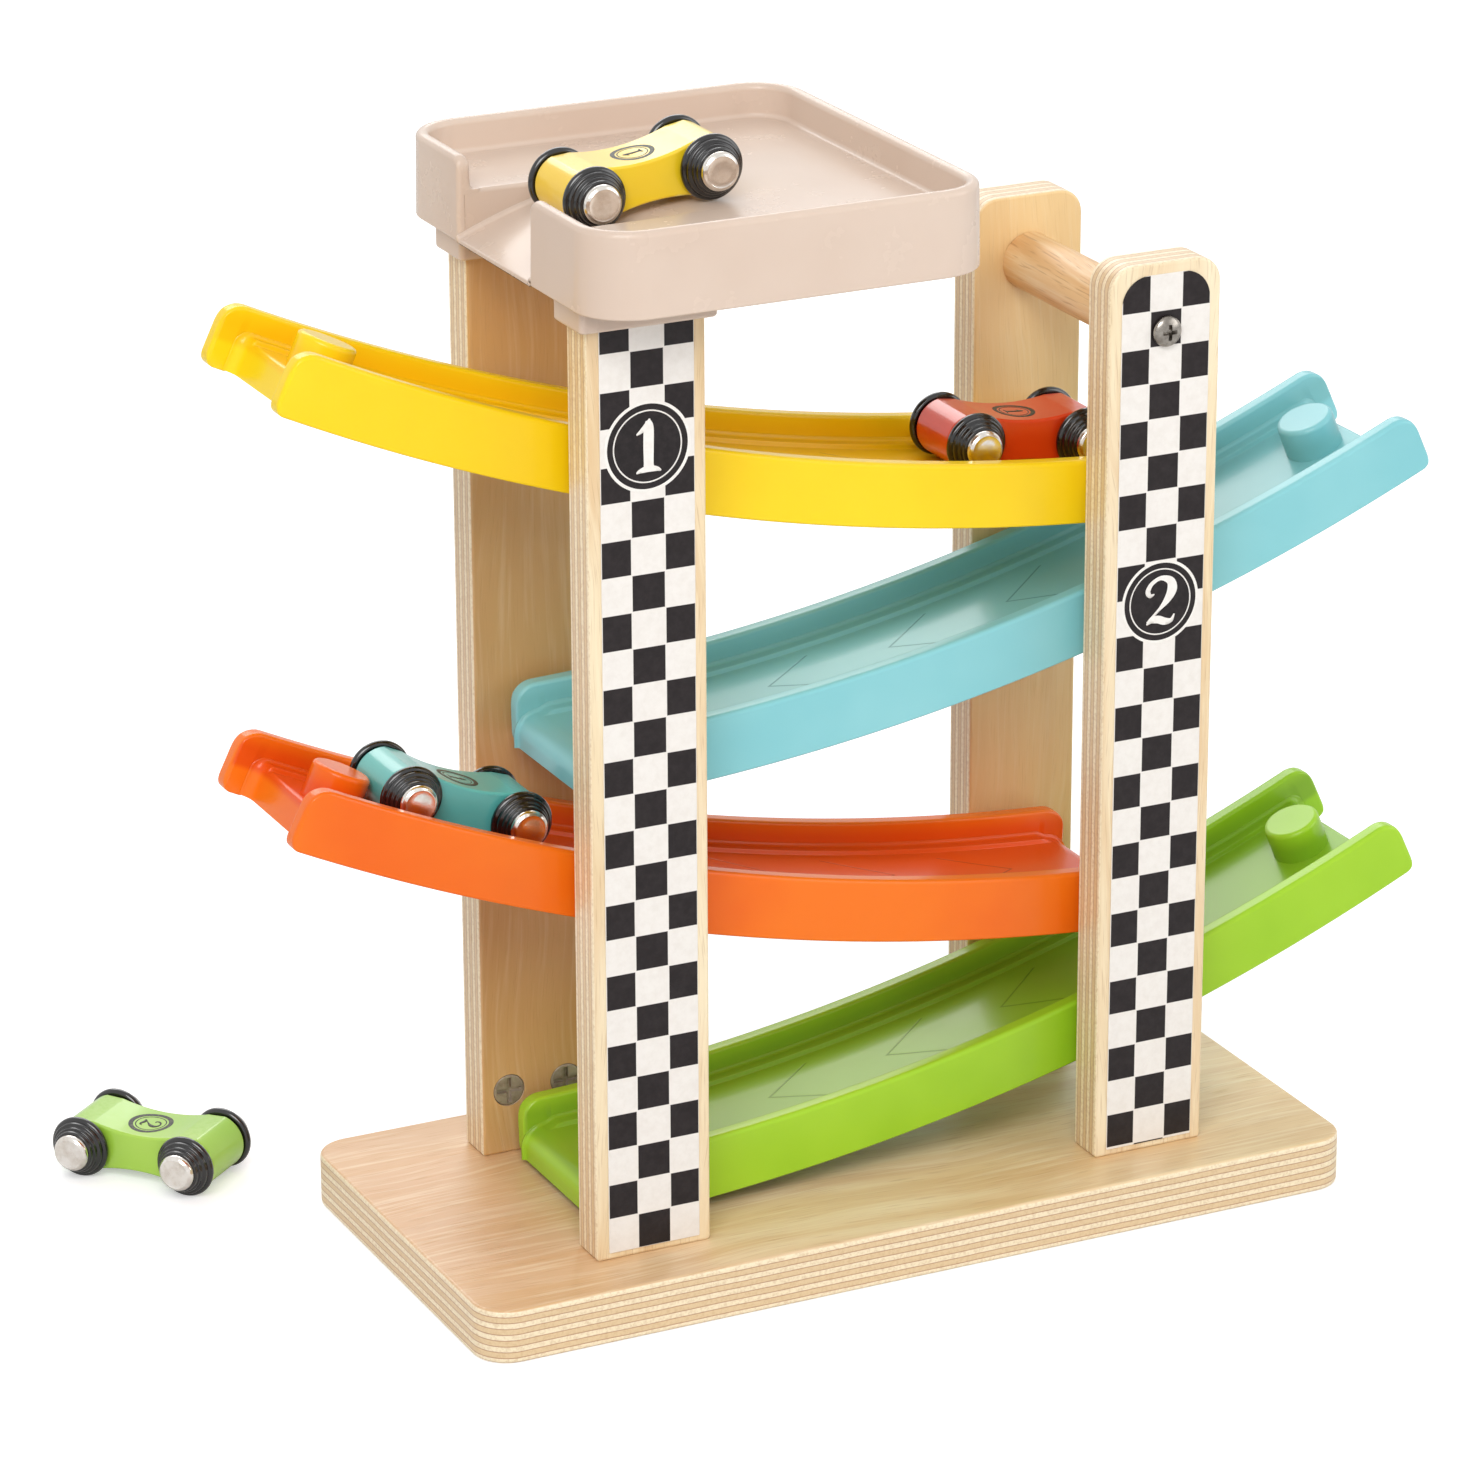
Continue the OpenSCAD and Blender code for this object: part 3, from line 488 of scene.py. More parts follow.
def new_material(name, **constants):
    """A material with its Principled shader; the constants are set on the shader's own sockets."""
    material = bpy.data.materials.new(name)
    material.use_nodes = True
    nodes = Nodes(material.node_tree)
    shader = material.node_tree.nodes["Principled BSDF"]
    for key, value in constants.items():
        shader.inputs[key.replace("_", " ")].default_value = value
    place = nodes.add("TexCoord").outputs["Object"]
    return material, nodes, shader, place


def use_group(nodes, name, **inputs):
    node = nodes.add("Group", node_tree=GROUPS[name])
    for key, value in inputs.items():
        nodes.feed(node.inputs[key.replace("_", " ")], value)
    return node.outputs


def bump(nodes, shader, height, distance, strength=1.0):
    node = nodes.add("Bump", {"Height": height, "Distance": distance, "Strength": strength})
    nodes.feed(shader.inputs["Normal"], node.outputs[0])


def plywood(name, face_axis, grain_axis, middle, thickness, layers, light, warm, seed, figure=1.0,
            painted_shade_at_left=0.0):
    """Board with birch faces and veneers on its edges; face_axis is the axis through its thickness.

    A figure below 1 makes the grain fainter, and the last argument paints shade on the face towards low X,
    under the tray.
    """
    material, n, shader, place = new_material(name, Roughness=0.42, Coat_Weight=0.25, Coat_Roughness=0.3)
    x, y, z = n.apart(place)
    axes = {"X": x, "Y": y, "Z": z}
    rest = [axes[a] for a in "XYZ" if a not in (grain_axis, face_axis)][0]
    along = n.together(axes[grain_axis], rest, axes[face_axis])
    grain = use_group(n, "grain", Place=along, Seed=seed)
    through = n.ramp(axes[face_axis], (middle - thickness / 2) * MM, (middle + thickness / 2) * MM,
                     smooth=False)
    ply = use_group(n, "ply", Through=through, Place=place, Layers=float(layers))
    slow = n.noise(n.stretch(along, 9, 22, 22), 1.0, 2.0)
    face = n.mix(n.ramp(slow, 0.36, 0.68), colour(*light), colour(*warm))
    # Painted shade: the face darkens towards low X, under the tray.
    face = n.mix(n.ramp(x, 0.02, -0.12, 0.0, painted_shade_at_left), face, colour(205, 156, 108))
    face = n.mix(n.ramp(grain["Bands"], 0.4, 0.66, 0.0, 0.5 * figure), face, colour(214, 172, 120))
    face = n.mix(n.ramp(grain["Streaks"], 0.45, 0.75, 0.0, 0.45 * figure), face, colour(250, 236, 204))
    face = n.mix(n.maths("MULTIPLY", grain["Pores"], 0.32 * figure), face, colour(176, 132, 86))
    edge = n.mix(ply["Cross veneer"], colour(246, 230, 197), colour(226, 199, 157))
    edge = n.mix(n.ramp(ply["Fuzz"], 0.4, 0.7, 0.0, 0.5), edge, colour(206, 172, 128))
    edge = n.mix(n.maths("MULTIPLY", ply["Glue line"], 0.75), edge, colour(172, 118, 90))
    normal = n.apart(n.add("TexCoord").outputs["Normal"])["XYZ".index(face_axis)]
    on_face = n.ramp(n.maths("ABSOLUTE", normal), 0.55, 0.8)
    n.feed(shader.inputs["Base Color"], n.mix(on_face, edge, face))
    n.feed(shader.inputs["Roughness"], n.ramp(grain["Pores"], 0.0, 1.0, 0.4, 0.62))
    edge_height = n.maths("SUBTRACT", n.maths("MULTIPLY", ply["Fuzz"], 0.8), ply["Glue line"])
    height = n.add("Mix", {0: on_face, 2: edge_height, 3: grain["Height"]}).outputs[0]
    bump(n, shader, height, 0.00012, 0.5)
    return material


def dowel_wood():
    material, n, shader, place = new_material(
        "crossbar beech", Roughness=0.45, Coat_Weight=0.15, Coat_Roughness=0.35)
    x, y, z = n.apart(place)
    grain = use_group(n, "grain", Place=n.together(y, x, z), Seed=5.0)
    tone = n.mix(n.ramp(grain["Bands"], 0.35, 0.7), colour(230, 190, 134), colour(212, 162, 106))
    tone = n.mix(n.ramp(grain["Streaks"], 0.4, 0.75, 0.0, 0.5), tone, colour(246, 222, 182))
    tone = n.mix(n.maths("MULTIPLY", grain["Pores"], 0.5), tone, colour(168, 118, 74))
    n.feed(shader.inputs["Base Color"], tone)
    bump(n, shader, grain["Height"], 0.0001, 0.5)
    return material


def sticker_film(name, post_x, crossing):
    """Chequered film: three columns of black and white, with one row starting at the crossing's height."""
    material, n, shader, place = new_material(name, Roughness=0.36, Specular_IOR_Level=0.25)
    x, _, z = n.apart(place)
    across = n.maths("ABSOLUTE", n.maths("SUBTRACT", x, post_x * MM))
    rows = n.maths("DIVIDE", n.maths("SUBTRACT", crossing * MM, z), CHEQUER_HEIGHT * MM)
    row_odd = n.maths("FLOORED_MODULO", n.maths("FLOOR", rows), 2.0)
    middle = n.maths("LESS_THAN", across, CHEQUER_COLUMN * MM)
    black = n.maths("ABSOLUTE", n.maths("SUBTRACT", middle, row_odd))
    part = n.maths("FRACT", rows)
    to_row = n.maths("MULTIPLY", n.maths("MINIMUM", part, n.maths("SUBTRACT", 1.0, part)),
                     CHEQUER_HEIGHT * MM)
    to_column = n.maths("ABSOLUTE", n.maths("SUBTRACT", across, CHEQUER_COLUMN * MM))
    to_side = n.maths("SUBTRACT", STICKER_HALF * MM, across)
    near = n.maths("MINIMUM", n.maths("MINIMUM", to_row, to_column), to_side)
    black = n.maths("MULTIPLY", black, n.ramp(near, 0.0001, 0.00024))
    mottle = n.noise(place, 420.0, 4.0, 0.65)
    ink = n.mix(n.ramp(mottle, 0.3, 0.8), colour(33, 27, 28), colour(44, 38, 39))
    paper = n.mix(n.ramp(mottle, 0.3, 0.8), colour(236, 231, 225), colour(229, 223, 216))
    n.feed(shader.inputs["Base Color"], n.mix(black, paper, ink))
    n.feed(shader.inputs["Roughness"], n.ramp(mottle, 0.3, 0.7, 0.34, 0.4))
    bump(n, shader, mottle, 0.00002, 0.3)
    return material


def print_ink(name, dark, light):
    """Ink of the stickers' roundels and numerals."""
    material, n, shader, place = new_material(name, Roughness=0.36, Specular_IOR_Level=0.25)
    mottle = n.noise(place, 520.0, 4.0, 0.65)
    n.feed(shader.inputs["Base Color"], n.mix(n.ramp(mottle, 0.35, 0.7), colour(*dark), colour(*light)))
    n.feed(shader.inputs["Roughness"], n.ramp(mottle, 0.3, 0.7, 0.34, 0.4))
    bump(n, shader, mottle, 0.00002, 0.3)
    return material


def sketched_ink():
    """Hand-printed ink on the cars: strokes with gaps that show the paint's light."""
    material, n, shader, place = new_material("sketched roundel ink", Roughness=0.5)
    hatch = n.noise(n.stretch(place, 1500, 3800, 1500), 1.0, 3.0, 0.7, 0.8)
    tone = n.mix(n.ramp(hatch, 0.5, 0.66), colour(34, 34, 28), colour(112, 112, 84))
    n.feed(shader.inputs["Base Color"], tone)
    bump(n, shader, hatch, 0.00003, 0.4)
    return material


def glossy_plastic(name, body, deep, channel=None, roughness=0.24):
    """Moulded plastic; a channel colour paints shade into a track's channel and adds the grooves of its
    chevrons, with painted shade in them.
    """
    material, n, shader, place = new_material(
        name, Coat_Weight=0.08, Coat_Roughness=0.08, Specular_IOR_Level=0.32, Subsurface_Weight=0.06,
        Subsurface_Scale=0.004, IOR=1.47)
    shader.inputs["Subsurface Radius"].default_value = (1.0, 0.8, 0.6)
    skin = use_group(n, "skin", Place=place)
    tone = n.mix(n.ramp(skin["Tone"], 0.35, 0.7), colour(*body), colour(*deep))
    height = skin["Height"]
    if channel:
        where = n.add("Attribute", attribute_name="track_place").outputs["Vector"]
        marks = use_group(n, "marks", Track_place=where)
        # Painted shade: the channel colour darkens the floor and the walls' inner faces.
        tone = n.mix(marks["Channel shade"], tone, colour(*channel))
        # Painted shade: the chevron grooves darken towards near black.
        groove_shade_tone = n.mix(0.65, colour(*deep), colour(30, 30, 20))
        tone = n.mix(n.maths("MULTIPLY", marks["Groove"], 0.6), tone, groove_shade_tone)
        height = n.maths("SUBTRACT", height, n.maths("MULTIPLY", marks["Groove"], 2.5))
    n.feed(shader.inputs["Base Color"], tone)
    n.feed(shader.inputs["Roughness"], n.ramp(skin["Smudge"], 0.0, 1.0, roughness, roughness + 0.03))
    bump(n, shader, height, 0.00008, 0.4)
    return material


def car_paint(name, body, deep, highlight_colour):
    """Satin lacquer on wood, with a painted highlight along the crests of its edges."""
    material, n, shader, place = new_material(name, Coat_Weight=0.55, Coat_Roughness=0.12)
    skin = use_group(n, "skin", Place=place, Ripple_size=260.0)
    wear = use_group(n, "wear", Place=place)
    tone = n.mix(n.ramp(skin["Tone"], 0.35, 0.7), colour(*body), colour(*deep))
    # Painted highlight: the crests of the edges lighten towards the last colour.
    tone = n.mix(n.maths("MULTIPLY", wear["Edge"], 0.7), tone, colour(*highlight_colour))
    n.feed(shader.inputs["Base Color"], tone)
    n.feed(shader.inputs["Roughness"], n.ramp(skin["Smudge"], 0.0, 1.0, 0.3, 0.42))
    bump(n, shader, skin["Height"], 0.00014, 0.6)
    return material


def tyre_rubber():
    material, n, shader, place = new_material("tyre black", Coat_Weight=0.6, Coat_Roughness=0.06, IOR=1.5)
    skin = use_group(n, "skin", Place=place, Ripple_size=500.0)
    tone = n.mix(n.ramp(skin["Tone"], 0.3, 0.7), colour(9, 8, 9), colour(18, 17, 18))
    n.feed(shader.inputs["Base Color"], tone)
    n.feed(shader.inputs["Roughness"], n.ramp(skin["Smudge"], 0.0, 1.0, 0.16, 0.28))
    bump(n, shader, skin["Height"], 0.00006, 0.4)
    return material


def metal(name, light, dark, low, high, metallic=1.0):
    """Turned or plated metal with smudges and fine scratches; its roughness runs from low to high."""
    material, n, shader, place = new_material(name, Metallic=metallic)
    smudge = n.noise(place, 300.0, 4.0, 0.6)
    scratch = n.noise(n.stretch(place, 900, 180, 900), 1.0, 3.0, 0.6)
    tone = n.mix(n.ramp(smudge, 0.35, 0.72), colour(*light), colour(*dark))
    n.feed(shader.inputs["Base Color"], tone)
    n.feed(shader.inputs["Roughness"], n.ramp(smudge, 0.3, 0.75, low, high))
    bump(n, shader, scratch, 0.00002, 0.35)
    return material


# The posts' two tones, by whether a post is on the left and by its side: -1 is the front
PLY_TONES = (241, 224, 190), (229, 202, 158)
# Painted shade: the back posts take darker, amber tones and fainter grain, darkest on the back left post.
POST_TONES_WITH_PAINTED_SHADE = {(True, -1): PLY_TONES, (False, -1): PLY_TONES,
              (True, 1): ((214, 172, 116), (202, 156, 100)),
              (False, 1): ((238, 206, 150), (230, 192, 134))}
# The base gets painted shade towards its left end, under the tray.
wood_base = plywood("base plywood", "Z", "X", BASE_THICKNESS / 2, BASE_THICKNESS, 9, (242, 224, 188),
                    (230, 198, 150), 1.0, painted_shade_at_left=0.7)
wood_posts = {
    (left, side): plywood(
        f"{'left' if left else 'right'} {'back' if side > 0 else 'front'} post plywood", "Y", "Z",
        side * POST_MIDDLE, POST_THICKNESS, 7, *POST_TONES_WITH_PAINTED_SHADE[left, side], 2.0 + 3 * left + side,
        figure=1.0 if side < 0 else 0.35)
    for left in (True, False) for side in (-1, 1)}
bar_wood = dowel_wood()
left_film = sticker_film("left chequered film", LEFT_POST_X, 263.5)
right_film = sticker_film("right chequered film", RIGHT_POST_X, 254.2)
ink_black = print_ink("roundel black", (31, 26, 27), (42, 36, 37))
ink_white = print_ink("roundel white", (240, 236, 230), (233, 228, 221))
ink_sketch = sketched_ink()
# Each track's third colour is painted shade for its channel.
plastics = {
    "yellow": glossy_plastic("yellow track plastic", (250, 215, 28), (246, 205, 14), (246, 190, 14)),
    "blue": glossy_plastic("blue track plastic", (146, 208, 213), (130, 198, 205), (122, 184, 186)),
    "orange": glossy_plastic("orange track plastic", (243, 118, 20), (235, 100, 12), (224, 70, 16)),
    "green": glossy_plastic("green track plastic", (164, 209, 48), (146, 195, 34), (124, 166, 38)),
}
tray_plastic = glossy_plastic("tray plastic", (217, 197, 181), (211, 189, 172), roughness=0.26)
# Each car paint's last colour is its painted edge highlight.
paints = {
    "yellow": car_paint("yellow car paint", (246, 214, 36), (240, 196, 20), (252, 240, 140)),
    "red": car_paint("red car paint", (224, 66, 10), (206, 50, 6), (240, 130, 70)),
    "teal": car_paint("teal car paint", (96, 190, 184), (72, 168, 166), (190, 228, 222)),
    "green": car_paint("green car paint", (172, 214, 76), (150, 200, 56), (222, 240, 170)),
}
tyre = tyre_rubber()
chrome = metal("hub cap chrome", (236, 232, 226), (214, 206, 196), 0.1, 0.24)
steel = metal("axle steel", (190, 188, 184), (160, 156, 150), 0.22, 0.4)
screw_steel = metal("screw steel", (168, 162, 154), (128, 122, 115), 0.2, 0.38)
nut_steel = metal("barrel nut steel", (172, 160, 142), (140, 128, 110), 0.4, 0.55, metallic=0.35)


# Boards
def cross_recess(form, span, width, depth, place, taper=0.55):
    """The recess for a cross-slotted driver, cut downwards from just above the head."""
    rows = []
    for level, reach, slot in ((1.5, span, width), (0, span, width), (-depth, span * taper, width * 0.8)):
        a, b = reach / 2, slot / 2
        quarter = [(a, b), (b, b), (b, a)]
        plus = quarter + [(-u, v) for u, v in reversed(quarter)]
        plus += [(-u, -v) for u, v in quarter] + [(u, -v) for u, v in reversed(quarter)]
        rows.append([(u, v, level) for u, v in plus])
    form.loft(rows, place=place)


def base_holes():
    """Countersunk holes for the bolts that hold the posts."""
    shank = BOLT_RADIUS + 0.2
    profile = [(0, 1), (BOLT_HEAD + 0.35, 1), (BOLT_HEAD + HEAD_CLEARANCE, -0.1),
               (shank, -BOLT_HEAD_DEPTH - 0.2), (shank, -BASE_THICKNESS - 3), (0, -BASE_THICKNESS - 3)]
    holes = Form()
    for x in (LEFT_POST_X, RIGHT_POST_X):
        for side in (-1, 1):
            for step in (-NUT_HALF_SPACING, NUT_HALF_SPACING):
                holes.lathe(profile, place=facing("-Z", x + step, side * POST_MIDDLE, 0), steps=40)
    return holes


base_form = Form()
turn_flat = Matrix.Rotation(math.radians(90), 4, "X")
base_form.slab(rounded_rectangle(BASE_LENGTH, BASE_WIDTH, BASE_CORNER), BASE_THICKNESS, 1.1,
               place=by_matrix(shift(0, 0, BASE_THICKNESS / 2) @ turn_flat))
base = make_piece("base_board", base_form, wood_base, ["base"])
cut(base, base_holes())

# Heights at which the tracks' bosses, and so their screws, meet the posts
TRACK_BOSS = {}
for label, facts in TRACKS.items():
    for post_x in (LEFT_POST_X, RIGHT_POST_X):
        angle = math.asin(abs(post_x - facts["centre_x"]) / (FLOOR_RADIUS + BOSS_DEPTH))
        TRACK_BOSS[label, post_x] = facts["centre_z"] - (FLOOR_RADIUS + BOSS_DEPTH) * math.cos(angle)

for (left, side), wood in wood_posts.items():
    post_x, top = (LEFT_POST_X, LEFT_POST_TOP) if left else (RIGHT_POST_X, RIGHT_POST_TOP)
    half, corner = POST_WIDTH / 2, 1.2 if left else POST_CORNER
    outline = rounded_loop([(half, top, corner), (-half, top, corner), (-half, BASE_THICKNESS, 1.0),
                            (half, BASE_THICKNESS, 1.0)], 8)
    form = Form().slab(outline, POST_THICKNESS, 0.8, place=by_matrix(shift(post_x, side * POST_MIDDLE, 0)))
    name = f"{'back' if side > 0 else 'front'}_{'left' if left else 'right'}_post"
    post = make_piece(name + "_board", form, wood, [name])
    holes = Form()
    outward, inward = ("+Y", "-Y") if side > 0 else ("-Y", "+Y")
    for step in (-NUT_HALF_SPACING, NUT_HALF_SPACING):
        bore, bottom = NUT_RADIUS + NUT_CLEARANCE, -NUT_LENGTH - 0.2
        holes.lathe([(0, 1), (NUT_RADIUS + 0.3, 1), (bore, -0.25), (bore, bottom), (0, bottom)],
                    place=facing(inward, post_x + step, side * POST_INNER, NUT_Z), steps=48)
    for label in TRACKS:
        holes.lathe([(0, 1), (TRACK_SCREW_HEAD + 0.3, 1), (TRACK_SCREW_HEAD + HEAD_CLEARANCE, -0.1),
                     (1.9, -1.9), (1.9, -POST_THICKNESS - 2), (0, -POST_THICKNESS - 2)],
                    place=facing(outward, post_x, side * POST_OUTER, TRACK_BOSS[label, post_x]), steps=36)
    cut(post, holes)

bar_end = [(0, -POST_INNER), (BAR_RADIUS - 0.5, -POST_INNER), (BAR_RADIUS - 0.15, -POST_INNER + 0.15),
           (BAR_RADIUS, -POST_INNER + 0.5)]
bar_form = Form().lathe(
    bar_end + [(BAR_RADIUS, y) for y in np.linspace(-POST_INNER + 3, POST_INNER - 3, 9)]
    + [(r, -y) for r, y in reversed(bar_end)],
    place=facing("-Y", RIGHT_POST_X, 0, BAR_Z))
make_piece("crossbar_dowel", bar_form, bar_wood, ["crossbar"])

# Fasteners
pan_head, pan_recess = Form(), Form()
for face, direction in ((-STICKER_FACE, "-Y"), (POST_OUTER, "+Y")):
    at = facing(direction, RIGHT_POST_X, face, BAR_Z)
    dome = [(BAR_SCREW_HEAD - 0.25, 0.0), (BAR_SCREW_HEAD, 0.25), (BAR_SCREW_HEAD, 0.8)]
    dome += [(BAR_SCREW_HEAD * math.cos(t), 0.8 + (BAR_HEAD_HEIGHT - 0.8) * math.sin(t))
             for t in np.linspace(0.12, math.pi / 2, 9)]
    thread = [(BAR_SCREW_RADIUS - (0.35 if k % 2 else 0.0), -12.5 - 0.6 * k) for k in range(31)]
    tip = [(0, -BAR_SCREW_LENGTH + 0.2), (0.4, -BAR_SCREW_LENGTH + 0.4)]
    shank = [(BAR_SCREW_RADIUS, -12), (BAR_SCREW_RADIUS, -0.2), (BAR_SCREW_RADIUS + 0.1, 0)]
    pan_head.lathe(tip + thread[::-1] + shank + dome, place=at, steps=64)
    cross_recess(pan_recess, 4.6, 1.05, 1.6, in_turn(by_matrix(shift(0, 0, BAR_HEAD_HEIGHT)), at))
bar_screws = make_piece("crossbar_pan_screws", pan_head, screw_steel, ["crossbar_screws"])
cut(bar_screws, pan_recess)

nut_form, nut_recess = Form(), Form()
bolt_form, bolt_recess = Form(), Form()
head_form, head_recess = Form(), Form()
for post_x in (LEFT_POST_X, RIGHT_POST_X):
    for side in (-1, 1):
        inward, outward = ("-Y", "+Y") if side > 0 else ("+Y", "-Y")
        for step in (-NUT_HALF_SPACING, NUT_HALF_SPACING):
            at = facing(inward, post_x + step, side * POST_INNER, NUT_Z)
            nut_form.lathe([(0, -NUT_LENGTH), (NUT_RADIUS - 0.5, -NUT_LENGTH),
                            (NUT_RADIUS, -NUT_LENGTH + 0.5), (NUT_RADIUS, -0.45), (NUT_RADIUS - 0.12, -0.12),
                            (NUT_RADIUS - 0.45, 0), (2, 0.02), (0, 0.02)], place=at, steps=56)
            cross_recess(nut_recess, 7.2, 1.3, 1.0, at, 0.9)
            at = facing("-Z", post_x + step, side * POST_MIDDLE, 0)
            bolt_form.lathe([(0, 0), (BOLT_HEAD - 0.3, 0), (BOLT_HEAD, -0.2), (BOLT_RADIUS, -BOLT_HEAD_DEPTH),
                             (BOLT_RADIUS, -NUT_Z), (BOLT_RADIUS, -BOLT_TOP + 0.8),
                             (BOLT_RADIUS - 0.8, -BOLT_TOP), (0, -BOLT_TOP)], place=at, steps=48)
            cross_recess(bolt_recess, 4.8, 1.3, 1.5, at)
        for label in TRACKS:
            at = facing(outward, post_x, side * POST_OUTER, TRACK_BOSS[label, post_x])
            head_form.lathe([(0, 0), (TRACK_SCREW_HEAD - 0.3, 0), (TRACK_SCREW_HEAD, -0.15), (1.75, -1.75),
                             (1.75, -18.4), (0, -19)], place=at, steps=40)
            cross_recess(head_recess, 3.8, 0.9, 1.2, at)
for name, form, recess, finish, slot, node in (
        ("barrel_nut_set", nut_form, nut_recess, nut_steel, "steel", "barrel_nuts"),
        ("base_bolt_set", bolt_form, bolt_recess, screw_steel, "steel", "base_bolts"),
        ("track_screw_set", head_form, head_recess, screw_steel, "screw_steel", "track_screws")):
    piece = make_piece(name, form, finish, [node])
    cut(piece, recess)

# Stickers with their roundels; a numeral's strokes are rows of (u, v, width) and how many samples they get
NUMERALS = {
    "1": [([(-2.1, 2.3, 0.3), (-0.9, 3.1, 0.9), (0.1, 4.3, 0.8), (0.5, 5.0, 0.3)], 18),
          ([(0.2, 4.7, 1.0), (0.25, 3.4, 1.9), (0.2, 0, 2.0), (0.2, -3.2, 1.9), (0.2, -4.2, 2.3)], 20),
          ([(-2.2, -4.7, 0.3), (-1.2, -4.3, 0.9), (0.2, -4.1, 1.2), (1.7, -4.3, 0.9), (2.6, -4.7, 0.3)], 20)],
    "2": [([(-1.3, 1.7, 0.2), (-2.3, 1.5, 0.9), (-2.8, 2.5, 1.1), (-1.9, 4.0, 0.9), (0.1, 4.9, 0.9),
            (2.2, 4.1, 1.7), (2.7, 2.3, 2.2), (1.7, 0.3, 1.6), (0.0, -1.5, 0.7), (-1.9, -3.2, 0.5),
            (-2.9, -4.1, 0.4)], 64),
          ([(-3.0, -4.5, 0.3), (-1.9, -3.7, 1.3), (-0.4, -3.7, 1.6), (1.2, -4.3, 1.5), (2.6, -4.2, 0.9),
            (3.3, -3.0, 0.3)], 40)],
}


def numeral(form, digit, size, low, high, drape, turn=0.0):
    c, s = math.cos(turn), math.sin(turn)
    for k, (points, samples) in enumerate(NUMERALS[digit]):
        path = smooth_path(points, samples) * size
        path[:, :2] = path[:, :2] @ np.array([[c, s], [-s, c]])
        ribbon(form, path, low, high + 0.006 * k, drape)


def on_sticker(post_x, z):
    return lambda p: np.stack([post_x + p[:, 0], -STICKER_FACE - p[:, 2], z + p[:, 1]], axis=1)


for name, post_x, top, corner, film, digit, centre_z, size, digit_size in (
        ("left_sticker", LEFT_POST_X, LEFT_STICKER_TOP, 0.4, left_film, "1", 238.0, 1.1, 1.44),
        ("right_sticker", RIGHT_POST_X, RIGHT_STICKER_TOP, STICKER_CORNER, right_film, "2", 173.7, 1.06,
         1.34)):
    outline = rounded_loop([(STICKER_HALF, top, corner), (-STICKER_HALF, top, corner),
                            (-STICKER_HALF, STICKER_FOOT, 0.4), (STICKER_HALF, STICKER_FOOT, 0.4)], 10)
    form = Form().slab(outline, STICKER_THICKNESS, 0.1, steps=2,
                       place=by_matrix(shift(post_x, -POST_OUTER - STICKER_THICKNESS / 2, 0)))
    make_piece(name + "_film", form, film, [name])
    drape = on_sticker(post_x, centre_z)
    disc = Form()
    flat_disc(disc, 10.7 * size, -0.05, 0.03, drape, rings=3)
    make_piece(name + "_roundel_disc", disc, ink_black)
    rings = Form()
    flat_ring(rings, 10.2 * size, 10.95 * size, -0.05, 0.05, drape)
    flat_ring(rings, 8.4 * size, 8.75 * size, 0.0, 0.05, drape)
    make_piece(name + "_roundel_rings", rings, ink_white)
    digit_form = Form()
    numeral(digit_form, digit, digit_size, 0.0, 0.05, drape)
    make_piece(name + "_numeral", digit_form, ink_white)


# Tracks
def end_stations(radii, steps=9):
    """Distances from an end at which its rounds are sampled."""
    found = {0.0}
    for radius in radii:
        found |= {round(radius * (1 - math.cos(t)), 4) for t in np.linspace(0, math.pi / 2, steps)}
    return sorted(found)


def wall_form(form, side):
    """A side wall with its skirt; inside the ends, the skirt is hollowed to the moulding's skin."""
    edge, inner = 1.2, TRACK_HALF - TRACK_WALL
    near = end_stations((WALL_END_TOP, WALL_END_BOTTOM, edge))
    hollow_start = LIP_RADIUS + TRACK_SKIN
    middle = np.arange(10, TRACK_LENGTH - 10, 5.0)
    stations = near + [hollow_start - 0.01, hollow_start] + list(middle)
    stations += [FLOOR_END - 0.01, FLOOR_END] + [TRACK_LENGTH - d for d in reversed(near)]
    rows = []
    for s in stations:
        end = min(s, TRACK_LENGTH - s)
        slim = corner_drop(end, edge)
        top = WALL_HEIGHT - corner_drop(end, WALL_END_TOP) - slim
        bottom = -SKIRT_DEPTH + corner_drop(end, WALL_END_BOTTOM) + slim
        outer, inward = TRACK_HALF - slim, inner + slim
        hollow = TRACK_HALF - TRACK_SKIN if hollow_start <= s <= FLOOR_END else inward
        loop = rounded_loop([(outer, bottom, 0.7), (outer, top, 1.3), (inward, top, 1.1),
                             (inward, -TRACK_SKIN + 0.2, 0.2), (hollow, -TRACK_SKIN + 0.2, 0.2),
                             (hollow, bottom, 0.5)], 5)
        rows.append(np.c_[np.full(len(loop), s), side * loop[:, 0], loop[:, 1]])
    form.loft(rows)


